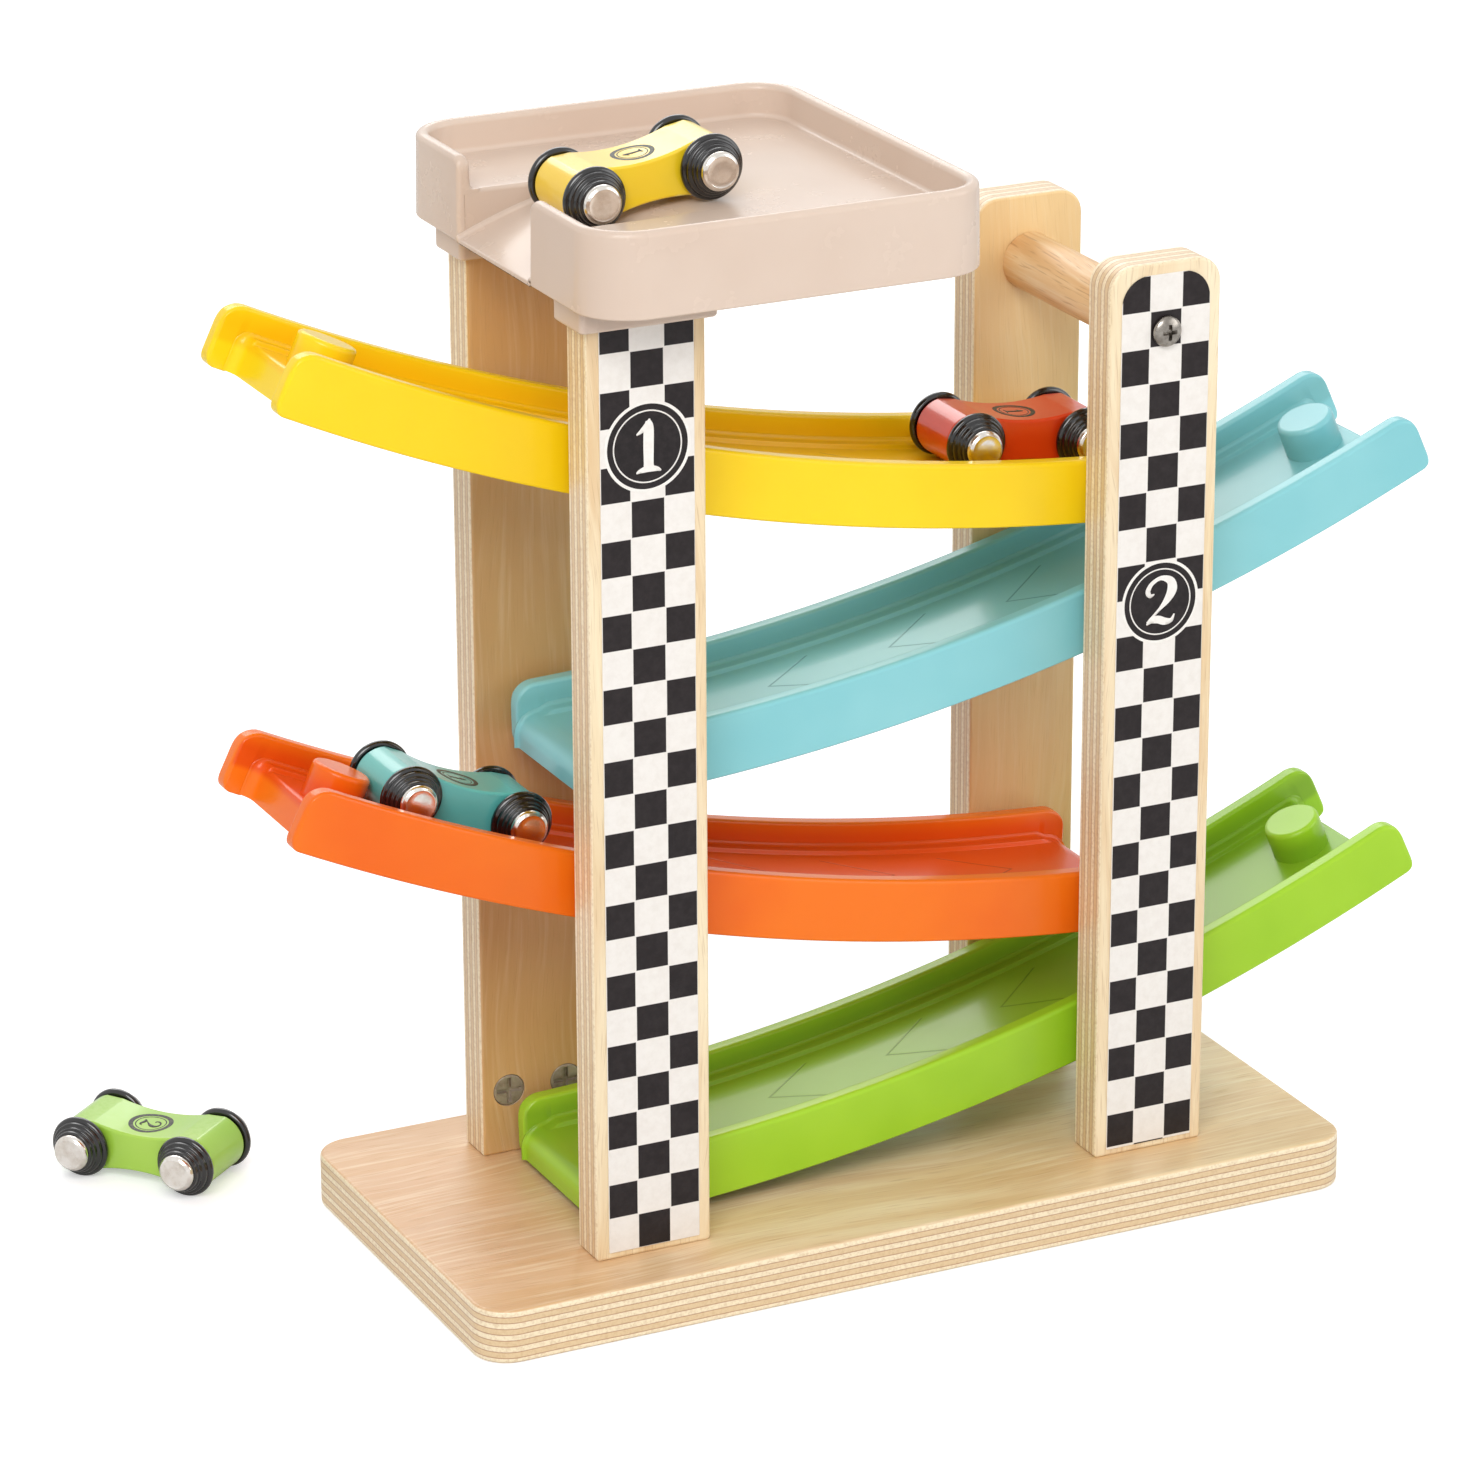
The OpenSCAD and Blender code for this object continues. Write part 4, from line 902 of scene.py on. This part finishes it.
def floor_form(form):
    """The floor with its ledges, from the lip's lower edge over the channel to the end face of the fork.

    A station is a place (s, h), the direction (s, h) away from the floor there, and its shares of the
    ledges' height and of the fork's wider fillets.
    """
    inner, edge, fillet, fork_fillet = TRACK_HALF - TRACK_WALL, 1.3, 1.0, 3
    ledge_at = inner - LEDGE_WIDTH
    stations = [(0, -SKIRT_DEPTH + 0.3, -1, 0, 0, 0), (0, -LIP_RADIUS - 1, -1, 0, 0, 0)]
    for angle in np.linspace(180, 90, 13):
        c, s = math.cos(math.radians(angle)), math.sin(math.radians(angle))
        stations.append((LIP_RADIUS * (1 + c), LIP_RADIUS * (s - 1), c, s, 0, 0))
    flat = LIP_RADIUS
    places = list(np.arange(flat + 1, flat + 5, 1.0)) + list(np.arange(flat + 7, FLOOR_END - 3, 4.0))
    for s in places + [FLOOR_END - 2]:
        stations.append((s, 0, 0, 1, min(1, max(0, (s - flat) / 3)), 0))
    for angle in np.linspace(90, 0, 8):
        c, s = math.cos(math.radians(angle)), math.sin(math.radians(angle))
        stations.append((FLOOR_END - edge + edge * c, -edge + edge * s, c, s, max(0, 1 - c * 1.2), c))
    stations.append((FLOOR_END, -SKIRT_DEPTH + 0.3, 1, 0, 0, 1))
    across = [0, 5, 10, 14, 16.4] + list(ledge_at + np.array([-0.3, -0.2, -0.1, 0, 0.1, 0.2, 0.3]))
    across += [18.6, 19.6] + list(inner - fillet + fillet * np.array([0, 0.25, 0.5, 0.7, 0.85, 0.95, 1.0]))
    across += [inner + 0.5]
    across = np.array([-y for y in reversed(across[1:])] + across)
    reach = np.abs(across)
    t = np.clip((reach - ledge_at + 0.3) / 0.6, 0, 1)
    ledge = LEDGE_HEIGHT * t * t * (3 - 2 * t)
    u = np.clip(reach - (inner - fillet), 0, fillet)
    foot = fillet - np.sqrt(np.maximum(fillet**2 - u**2, 0))
    v = np.clip(reach - (inner - fork_fillet), 0, fork_fillet)
    fork_foot = fork_fillet - np.sqrt(np.maximum(fork_fillet**2 - v**2, 0))
    rows = []
    for s, h, to_s, to_h, ledge_share, fork_share in stations:
        rise = ledge * ledge_share + foot * (1 - fork_share) + fork_foot * fork_share
        upper = np.stack([s + to_s * rise, across, h + to_h * rise], axis=1)
        if s < flat and to_s < 0:
            low_s, low_h = s - to_s * TRACK_SKIN, h - to_h * TRACK_SKIN
        else:
            low_s, low_h = min(s, FLOOR_END - TRACK_SKIN), (-TRACK_SKIN if h > -SKIRT_DEPTH + 1 else h)
        lower = np.stack([np.full(len(across), low_s), across, np.full(len(across), low_h)], axis=1)
        rows.append(np.vstack([upper, lower[::-1]]))
    form.loft(rows)


def rib_form(form):
    """One rib along the middle under the floor, and ribs across it."""
    first, last = LIP_RADIUS + TRACK_SKIN, FLOOR_END - TRACK_SKIN
    count, half, edge = 9, 0.8, 0.3
    low, high = -SKIRT_DEPTH, -TRACK_SKIN + 0.5
    section = rounded_loop([(half, low, edge), (half, high, 0.01), (-half, high, 0.01),
                            (-half, low, edge)], 3)
    form.loft([np.c_[np.full(len(section), s), section[:, 0], section[:, 1]]
               for s in np.linspace(2, last + 1, 52)])
    for k in range(1, count):
        s = first + (last - first) * k / count
        form.loft([np.c_[s + section[:, 0], np.full(len(section), y), section[:, 1]]
                   for y in (-TRACK_HALF + 1, -8, 8, TRACK_HALF - 1)])


def knob_form(form):
    edge = 1.3
    profile = [(0, -1)] + [(KNOB_RADIUS, h) for h in (-1, 0, 3, KNOB_HEIGHT - 1.6)]
    profile += [(KNOB_RADIUS - edge + edge * math.cos(t), KNOB_HEIGHT - edge + edge * math.sin(t))
                for t in np.linspace(0.1, math.pi / 2, 10)]
    profile += [(KNOB_RADIUS - 4, KNOB_HEIGHT - 0.03), (0, KNOB_HEIGHT)]
    form.lathe(profile, place=lambda p: p + [KNOB_PLACE, 0, 0], steps=72)


def on_track(facts, points):
    """Bends points given as track places (s, y, h) onto the track's arc."""
    s, y, h = points[:, 0], points[:, 1], points[:, 2]
    angle = facts["tilt"] + s / FLOOR_RADIUS
    return np.stack([facts["centre_x"] + facts["side"] * (FLOOR_RADIUS - h) * np.sin(angle), y,
                     facts["centre_z"] - (FLOOR_RADIUS - h) * np.cos(angle)], axis=1)


for label, facts in TRACKS.items():
    form = Form()
    wall_form(form, 1)
    wall_form(form, -1)
    floor_form(form)
    rib_form(form)
    knob_form(form)
    places = np.array(form.points)
    form.points = on_track(facts, places).tolist()
    for post_x in (LEFT_POST_X, RIGHT_POST_X):
        for direction, side in (("+Y", 1), ("-Y", -1)):
            form.lathe([(0, 0), (BOSS_RADIUS - 0.3, 0), (BOSS_RADIUS, -0.3), (BOSS_RADIUS, -4.2),
                        (BOSS_RADIUS + 0.8, -5.0), (BOSS_RADIUS, -5.6), (BOSS_RADIUS, 0.5 - BOSS_LENGTH),
                        (BOSS_RADIUS - 0.5, -BOSS_LENGTH), (0, -BOSS_LENGTH)],
                       place=facing(direction, post_x, side * POST_INNER, TRACK_BOSS[label, post_x]),
                       steps=40)
    places = np.vstack([places, np.tile(OFF_THE_TRACK, (len(form.points) - len(places), 1))])
    make_piece(f"{label}_track_moulding", form, plastics[label], [f"{label}_track"],
               places=places)


# Tray
def rim_stations():
    """Walks round the tray's outline from the exit's back end to its front end: places and inward normals."""
    x0, x1, half, r = TRAY_LEFT, TRAY_LEFT + TRAY_LENGTH, TRAY_WIDTH / 2, TRAY_CORNER
    walk = []

    def straight(a, b, inward, spacing=9.0):
        a, b = np.array(a, float), np.array(b, float)
        for t in np.linspace(0, 1, max(2, int(np.linalg.norm(b - a) / spacing) + 1))[1:-1]:
            walk.append((a + (b - a) * t, inward))

    def corner(cx, cy, first, last):
        for angle in np.linspace(math.radians(first), math.radians(last), 15):
            out = np.array([math.cos(angle), math.sin(angle)])
            walk.append((np.array([cx, cy]) + r * out, -out))

    ends = end_stations((RIM_END_TOP, RIM_END_EDGE), 7)
    for d in ends:
        walk.append((np.array([x0, EXIT_BACK + d]), np.array([1.0, 0.0])))
    straight((x0, EXIT_BACK + ends[-1]), (x0, half - r), np.array([1.0, 0.0]))
    corner(x0 + r, half - r, 180, 90)
    straight((x0 + r, half), (x1 - r, half), np.array([0.0, -1.0]))
    corner(x1 - r, half - r, 90, 0)
    straight((x1, half - r), (x1, -half + r), np.array([-1.0, 0.0]))
    corner(x1 - r, -half + r, 0, -90)
    straight((x1 - r, -half), (x0 + r, -half), np.array([0.0, 1.0]))
    corner(x0 + r, -half + r, -90, -180)
    straight((x0, -half + r), (x0, EXIT_FRONT - ends[-1]), np.array([1.0, 0.0]))
    for d in reversed(ends):
        walk.append((np.array([x0, EXIT_FRONT - d]), np.array([1.0, 0.0])))
    return walk


def ramp_z(x):
    """The height of the tray's floor at a place along it: flat, and then down the ramp's arc."""
    if x >= RAMP_START:
        return TRAY_FLOOR
    return RAMP_CENTRE_Z + math.sqrt(RAMP_RADIUS**2 - (x - RAMP_START) ** 2)


def rim_form(form):
    """The rim, open at the exit, where both of its ends are rounded down."""
    rows = []
    for point, inward in rim_stations():
        end = 99.0
        if abs(point[0] - TRAY_LEFT) < 0.01:
            end = abs(point[1] - (EXIT_BACK if point[1] > 0 else EXIT_FRONT))
        slim = corner_drop(end, RIM_END_EDGE)
        top = RIM_TOP - corner_drop(end, RIM_END_TOP) - slim
        loop = rounded_loop([
            (slim, TRAY_BOTTOM + slim, 0.6), (0.35 + slim, top, 1.9), (RIM_WALL - 0.1 - slim, top, 1.8),
            (RIM_WALL + 0.1 - slim, TRAY_FLOOR + 0.02, 2.2), (RIM_WALL + 2.7 - slim, TRAY_FLOOR + 0.02, 0.2),
            (RIM_WALL + 3.2 - slim, TRAY_FLOOR - 0.8, 0.2), (TRAY_SKIN - slim * 0.5, TRAY_FLOOR - 1.2, 0.3),
            (TRAY_SKIN - slim * 0.5, TRAY_BOTTOM + slim, 0.5)], 6)
        rows.append(np.c_[point[0] + inward[0] * loop[:, 0], point[1] + inward[1] * loop[:, 0], loop[:, 1]])
    form.loft(rows)


def sheet_half(x):
    """Half the width of the tray's floor at a place along it, up to where the rim covers it."""
    end = min(x - (TRAY_LEFT + RIM_COVER), TRAY_LEFT + TRAY_LENGTH - RIM_COVER - x)
    return TRAY_WIDTH / 2 - RIM_COVER - corner_drop(max(end, 0), TRAY_CORNER - RIM_COVER)


def tray_floor_form(form):
    """The floor, the cheeks beside the ramp, and the ramp."""
    low = TRAY_FLOOR - TRAY_SKIN
    ends = end_stations((TRAY_CORNER - RIM_COVER,), 10)
    right_end = TRAY_LEFT + TRAY_LENGTH - RIM_COVER
    xs = [RAMP_START] + list(np.arange(RAMP_START + 8, right_end - 14, 8))
    xs += [right_end - d for d in reversed(ends)]
    rows = []
    for x in xs:
        half = sheet_half(x)
        rows.append([(x, -half, low), (x, -half, TRAY_FLOOR), (x, 0, TRAY_FLOOR),
                     (x, half, TRAY_FLOOR), (x, half, low), (x, 0, low)])
    form.loft(rows)
    left_end = TRAY_LEFT + RIM_COVER
    xs = [left_end + d for d in ends] + list(np.arange(left_end + 14, RAMP_START - 2, 4))
    xs += [RAMP_START + 0.01]
    for side, gate in ((1, EXIT_BACK + 0.03), (-1, EXIT_FRONT - 0.03)):
        rows = []
        for x in xs:
            half = max(sheet_half(x), abs(gate) + 3)
            surface = ramp_z(min(x, RAMP_START))
            edge = min(1.2, (TRAY_FLOOR - surface) / 2 + 0.01)
            foot = min(surface - TRAY_SKIN, low)
            gate_in = abs(gate)
            loop = [(half, TRAY_FLOOR), (gate_in + edge + 2, TRAY_FLOOR)]
            loop += [(gate_in + edge - edge * math.sin(t), TRAY_FLOOR - edge + edge * math.cos(t))
                     for t in np.linspace(0, math.pi / 2, 6)]
            loop += [(gate_in, foot), (gate_in + TRAY_SKIN, foot), (gate_in + TRAY_SKIN, low), (half, low)]
            rows.append([(x, side * y, z) for y, z in loop])
        form.loft(rows)
    # The ramp's tongue, with small fillets against the cheeks
    path = [(TRAY_LEFT, TRAY_BOTTOM + 0.1, -1, 0), (TRAY_LEFT, ramp_z(TRAY_LEFT) - 0.9, -1, 0)]
    for angle in (157, 135, 112):
        c, s = math.cos(math.radians(angle)), math.sin(math.radians(angle))
        path.append((TRAY_LEFT + 0.7 + 0.7 * c, ramp_z(TRAY_LEFT + 0.7) - 0.7 + 0.7 * s, c, s))
    for x in np.linspace(TRAY_LEFT + 0.9, RAMP_START, 30):
        lean = (x - RAMP_START) / RAMP_RADIUS
        path.append((x, ramp_z(x), lean, math.sqrt(1 - lean**2)))
    fillet = 1.2
    across = [EXIT_FRONT - 0.4] + [EXIT_FRONT + fillet * (1 - q) for q in (1.0, 0.95, 0.8, 0.55, 0.3, 0)]
    across += list(np.linspace(EXIT_FRONT + 5, EXIT_BACK - 5, 7))
    across += [EXIT_BACK - fillet * (1 - q) for q in (0, 0.3, 0.55, 0.8, 0.95, 1.0)] + [EXIT_BACK + 0.4]
    across = np.array(across)
    u = np.clip(np.maximum(EXIT_FRONT + fillet - across, across - EXIT_BACK + fillet), 0, fillet)
    foot = fillet - np.sqrt(np.maximum(fillet**2 - u**2, 0))
    rows = []
    for x, z, nx, nz in path:
        share = max(0.0, nz) * min(1.0, (TRAY_FLOOR - z) / 3)
        rise = foot * share
        upper = np.stack([x + nx * rise, across, z + nz * rise], axis=1)
        under_x = max(x, TRAY_LEFT + TRAY_SKIN * (0.98 if nz < 0.9 else 0))
        under_z = max(z - TRAY_SKIN * nz, TRAY_BOTTOM + 0.1)
        under = np.stack([np.full(len(across), under_x), across, np.full(len(across), under_z)], axis=1)
        rows.append(np.vstack([upper, under[::-1]]))
    form.loft(rows)


def tray_rib_form(form):
    """Ribs under the tray; under the ramp they stop below its skin."""
    half, low = 0.8, TRAY_BOTTOM

    def rib(a, b, along_x):
        rows = []
        for t in np.linspace(0, 1, 24):
            x, y = a[0] + (b[0] - a[0]) * t, a[1] + (b[1] - a[1]) * t
            over_ramp = EXIT_FRONT - 1 < y < EXIT_BACK + 1 and x < RAMP_START
            top = (min(ramp_z(x), TRAY_FLOOR) if over_ramp else TRAY_FLOOR) - TRAY_SKIN + 0.4
            section = rounded_loop([(half, low, 0.3), (half, top, 0.01), (-half, top, 0.01),
                                    (-half, low, 0.3)], 3)
            if along_x:
                rows.append(np.c_[np.full(len(section), x), y + section[:, 0], section[:, 1]])
            else:
                rows.append(np.c_[x + section[:, 0], np.full(len(section), y), section[:, 1]])
        form.loft(rows)

    inner_half, inner_length = TRAY_WIDTH / 2 - TRAY_SKIN, TRAY_LENGTH - 2 * TRAY_SKIN
    for k in range(1, 5):
        y = -inner_half + 2 * inner_half / 5 * k
        rib((TRAY_LEFT + 2, y), (TRAY_LEFT + TRAY_LENGTH - 2, y), True)
    for k in range(1, 4):
        x = TRAY_LEFT + TRAY_SKIN + inner_length / 4 * k
        for a, b in ((-inner_half - 0.5, EXIT_FRONT - 1.5), (EXIT_FRONT - 0.5, EXIT_BACK + 0.5),
                     (EXIT_BACK + 1.5, inner_half + 0.5)):
            rib((x, a), (x, b), False)


def collar_form(form):
    """The tray's two collars round the tops of the left posts."""
    hole_length, hole_width = POST_WIDTH + 2 * COLLAR_CLEARANCE, POST_THICKNESS + 2 * COLLAR_CLEARANCE
    length, width = hole_length + 2 * COLLAR_WALL, hole_width + 2 * COLLAR_WALL
    levels = [(length, width, 1.6, TRAY_FLOOR - 1.5), (length, width, 1.6, COLLAR_BOTTOM + 1.0)]
    levels += [(length - 2 * d, width - 2 * d, 1.6 - d * 0.5, COLLAR_BOTTOM + z)
               for d, z in ((0.05, 0.62), (0.18, 0.3), (0.42, 0.08), (0.8, 0.0))]
    levels += [(hole_length + 0.8, hole_width + 0.8, 0.6, COLLAR_BOTTOM),
               (hole_length, hole_width, 0.3, COLLAR_BOTTOM + 0.4),
               (hole_length, hole_width, 0.3, LEFT_POST_TOP + 0.05)]
    for side in (-1, 1):
        rows = []
        for a, b, corner, z in levels:
            loop = rounded_rectangle(a, b, corner, 6)
            rows.append(np.c_[LEFT_POST_X + loop[:, 0], side * POST_MIDDLE + loop[:, 1],
                              np.full(len(loop), z)])
        form.loft(rows)


tray_form = Form()
rim_form(tray_form)
tray_floor_form(tray_form)
tray_rib_form(tray_form)
collar_form(tray_form)
make_piece("tray_moulding", tray_form, tray_plastic, ["tray"])


# Cars
def on_track_car(label, s):
    """Stands a car on a track, its middle at s, with both pairs of wheels on the floor's arc."""
    facts = TRACKS[label]
    axle_radius = FLOOR_RADIUS - WHEEL_RADIUS - ROLL_GAP
    middle = math.sqrt(axle_radius**2 - HALF_BASE**2)
    slope = facts["tilt"] + s / FLOOR_RADIUS
    x = facts["centre_x"] + facts["side"] * middle * math.sin(slope)
    z = facts["centre_z"] - middle * math.cos(slope)
    heading = Matrix.Rotation(math.pi if facts["side"] > 0 else 0, 4, "Z")
    return shift(x, 0, z) @ heading @ Matrix.Rotation(slope, 4, "Y")


def on_ramp_car(angle):
    """Stands a car on the tray's ramp, its middle at an angle down the ramp's arc."""
    axle_radius = RAMP_RADIUS + WHEEL_RADIUS + ROLL_GAP
    middle = math.sqrt(axle_radius**2 - HALF_BASE**2)
    return (shift(RAMP_START - middle * math.sin(angle), -3, RAMP_CENTRE_Z + middle * math.cos(angle))
            @ Matrix.Rotation(math.pi, 4, "Z") @ Matrix.Rotation(angle, 4, "Y"))


CARS = {
    "yellow": (on_ramp_car(math.radians(8.1)), "1"),
    "red": (on_track_car("yellow", 31.0), "1"),
    "teal": (on_track_car("orange", 204.32), "1"),
    "green": (shift(-163.5, 95, WHEEL_RADIUS) @ Matrix.Rotation(math.radians(-50), 4, "Z"), "2"),
}
WAIST_ARC = (HALF_BASE**2 + BODY_WAIST**2 - BODY_END**2) / (2 * (BODY_END - BODY_WAIST))


def body_outline():
    """Side view: two round ends and a waist drawn in by large arcs that meet them smoothly."""
    meet = math.degrees(math.atan2(WAIST_ARC + BODY_WAIST, HALF_BASE))
    upper = arc_points((0, WAIST_ARC + BODY_WAIST), WAIST_ARC, -meet, -180 + meet, 34)[1:-1]
    left = arc_points((-HALF_BASE, 0), BODY_END, 180 - meet, 180 + meet, 40)
    lower = arc_points((0, -WAIST_ARC - BODY_WAIST), WAIST_ARC, 180 - meet, meet, 34)[1:-1]
    right = arc_points((HALF_BASE, 0), BODY_END, -meet, meet, 40)
    return np.array(upper + left + lower + right)


def body_top(x):
    return WAIST_ARC + BODY_WAIST - np.sqrt(WAIST_ARC**2 - x**2)


def wheel_profile():
    """From the hub's inner face over the tyre and its steps to the hub's outer face."""
    inner, depth, r = WHEEL_INNER, WHEEL_THICKNESS, WHEEL_RADIUS
    profile = [(1.5, inner), (r - 2.6, inner), (r - 2.2, inner + 0.15)]
    for height, rise, first, last in ((1.25, 1.1, -1.45, 0), (1.35, 1.05, 0.05, 1.5)):
        profile += [(r - 1.15 + 1.15 * math.cos(t), inner + height + rise * math.sin(t))
                    for t in np.linspace(first, last, 7)]
    for radius, level in ((0.87 * r, 0.6), (0.76 * r, 0.8), (0.68 * r, 1.0)):
        top = inner + depth * level
        base = profile[-1][1]
        profile += [(radius + 0.22, base - 0.02), (radius + 0.04, base + 0.12)]
        profile += [(radius - 0.45 + 0.45 * math.cos(t), top - 0.5 + 0.5 * math.sin(t))
                    for t in np.linspace(0, math.pi / 2, 5)]
    profile += [(4.6, WHEEL_OUTER), (1.5, WHEEL_OUTER)]
    return profile


def cap_profile():
    """A turned cup: rolled foot, curved side, a bevelled brim and a dished disc."""
    foot = WHEEL_OUTER
    profile = [(CAP_RADIUS - 0.3, foot - 0.02), (CAP_RADIUS, foot + 0.12), (CAP_RADIUS - 0.02, foot + 0.3)]
    profile += [(4.25 + 0.98 * math.cos(t), foot + 0.35 + 1.35 * math.sin(t))
                for t in np.linspace(0.1, 1.35, 8)]
    profile += [(4.32, foot + 1.78), (4.2, foot + 1.86), (4.08, foot + 1.84), (3.9, foot + 1.76),
                (2.5, foot + 1.74), (0, foot + 1.76)]
    return profile


for label, (matrix, digit) in CARS.items():
    place = by_matrix(matrix)
    form = Form().slab(body_outline(), 2 * CAR_HALF, 0.75, place=place, steps=5)
    make_piece(f"{label}_car_wooden_body", form, paints[label], [f"{label}_car_body"],
               body=f"{label}_car")

    def drape(p):
        return place(np.stack([p[:, 0], p[:, 1], body_top(p[:, 0]) + p[:, 2]], axis=1))

    mark, size = Form(), 1.2 if label == "green" else 1.1
    flat_ring(mark, 4.15 * size, 5.25 * size, -0.1, 0.03, drape)
    flat_ring(mark, 3.45 * size, 3.72 * size, -0.1, 0.03, drape)
    numeral(mark, digit, 0.5 * size, -0.1, 0.035, drape, turn=-math.pi / 2)
    make_piece(f"{label}_car_roundel", mark, ink_sketch, body=f"{label}_car")
    for end, where in (("front", HALF_BASE), ("rear", -HALF_BASE)):
        body = f"{label}_car_{end}_wheels"
        caps = Form()
        for hand, direction in (("left", "+Y"), ("right", "-Y")):
            on_axle = in_turn(facing(direction, where, 0, 0), place)
            wheel = Form().lathe(wheel_profile() + [wheel_profile()[0]], place=on_axle, steps=80)
            make_piece(f"{label}_car_{end}_{hand}_tyre", wheel, tyre,
                       [f"{label}_car_{end}_{hand}_wheel"], body=body)
            caps.lathe([(0, WHEEL_OUTER - 0.02)] + cap_profile(), place=on_axle, steps=72)
        make_piece(f"{label}_car_{end}_hub_caps", caps, chrome, [f"{label}_car_{end}_caps"],
                   body=body)
        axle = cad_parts[f"{label}_car_{end}_axle"]
        axle.data.materials.clear()
        axle.data.materials.append(steel)


# Floor, light and camera
def white_to_the_camera(nodes):
    """1 on rays that the camera, a reflection or a clear body sends out."""
    paths = nodes.add("LightPath").outputs
    bounced = nodes.maths("MAXIMUM", paths["Is Glossy Ray"], paths["Is Transmission Ray"])
    return nodes.maths("MAXIMUM", paths["Is Camera Ray"], bounced)


GROUND_SIZE, GROUND_THICKNESS = 9000, 20
ground = Form()
ground.slab(rounded_rectangle(GROUND_SIZE, GROUND_SIZE, 60), GROUND_THICKNESS, 6,
            place=by_matrix(shift(0, 0, -GROUND_THICKNESS / 2) @ turn_flat))
floor_material, n, shader, place = new_material("pale studio floor", Roughness=0.85)
grainy = n.noise(place, 30.0, 2.0)
tone = n.mix(n.ramp(grainy, 0.3, 0.7), colour(236, 236, 236), colour(232, 232, 232))
n.feed(shader.inputs["Base Color"], tone)
glow = n.maths("MULTIPLY", n.add("LightPath").outputs["Is Camera Ray"], 0.42)
n.feed(shader.inputs["Emission Color"], (1, 1, 1, 1))
n.feed(shader.inputs["Emission Strength"], glow)
studio_floor = make_piece("studio_floor", ground, floor_material, body=None)

world = bpy.data.worlds.new("studio")
bpy.context.scene.world = world
world.use_nodes = True
w = Nodes(world.node_tree)
background = world.node_tree.nodes["Background"]
w.feed(background.inputs["Color"], (1, 1, 1, 1))
w.feed(background.inputs["Strength"], w.ramp(white_to_the_camera(w), 0, 1, 0.55, 1.0, smooth=False))


def soft_lamp(name, place, target, width, height, power):
    """A rectangular area lamp at a place, facing a target, both in metres."""
    light = bpy.data.lights.new(name, "AREA")
    light.shape, light.size, light.size_y, light.energy = "RECTANGLE", width, height, power
    lamp = bpy.data.objects.new(name, light)
    bpy.context.scene.collection.objects.link(lamp)
    place, target = np.array(place), np.array(target)
    back = (place - target) / np.linalg.norm(place - target)
    side = np.cross([0, 0, 1], back)
    side = side / np.linalg.norm(side)
    up = np.cross(back, side)
    lamp.matrix_world = Matrix([[side[k], up[k], back[k], place[k]] for k in range(3)] + [[0, 0, 0, 1]])


for name, lamp_place, width, height, power in (
        ("key_softbox", (-0.9, -1.3, 1.5), 1.2, 1.0, 24),
        ("fill_softbox", (1.5, -1.0, 0.9), 1.2, 1.2, 9),
        ("back_softbox", (0.3, 1.4, 1.3), 1.4, 0.8, 11)):
    soft_lamp(name, lamp_place, (0, 0, 0.15), width, height, power)

# Camera found by fitting the part's own corners and edges to the photograph's
PHOTO_WIDTH, FOCAL_PIXELS, SENSOR_WIDTH = 1470, 6023.5, 36
CAMERA_TARGET, CAMERA_RIGHT, CAMERA_UP, CAMERA_BACK = (0, 0, 130.0), -25.876, 3.717, 1619.75
azimuth, elevation, roll = (math.radians(a) for a in (-25.763, 20.324, -0.229))
back = np.array([math.sin(azimuth) * math.cos(elevation), -math.cos(azimuth) * math.cos(elevation),
                 math.sin(elevation)])
right = np.array([math.cos(azimuth), math.sin(azimuth), 0.0])
up = np.cross(back, right)
side = right * math.cos(roll) + up * math.sin(roll)
high = -right * math.sin(roll) + up * math.cos(roll)
spot = (np.array(CAMERA_TARGET) + right * CAMERA_RIGHT + up * CAMERA_UP + back * CAMERA_BACK) * MM
camera_data = bpy.data.cameras.new("photo_camera")
camera_data.sensor_fit, camera_data.sensor_width = "HORIZONTAL", SENSOR_WIDTH
camera_data.lens = FOCAL_PIXELS * SENSOR_WIDTH / PHOTO_WIDTH
camera_data.clip_end = 50
camera = bpy.data.objects.new("photo_camera", camera_data)
bpy.context.scene.collection.objects.link(camera)
camera.matrix_world = Matrix([[side[k], high[k], back[k], spot[k]] for k in range(3)] + [[0, 0, 0, 1]])
bpy.context.scene.camera = camera
bpy.context.scene.view_settings.view_transform = "Standard"
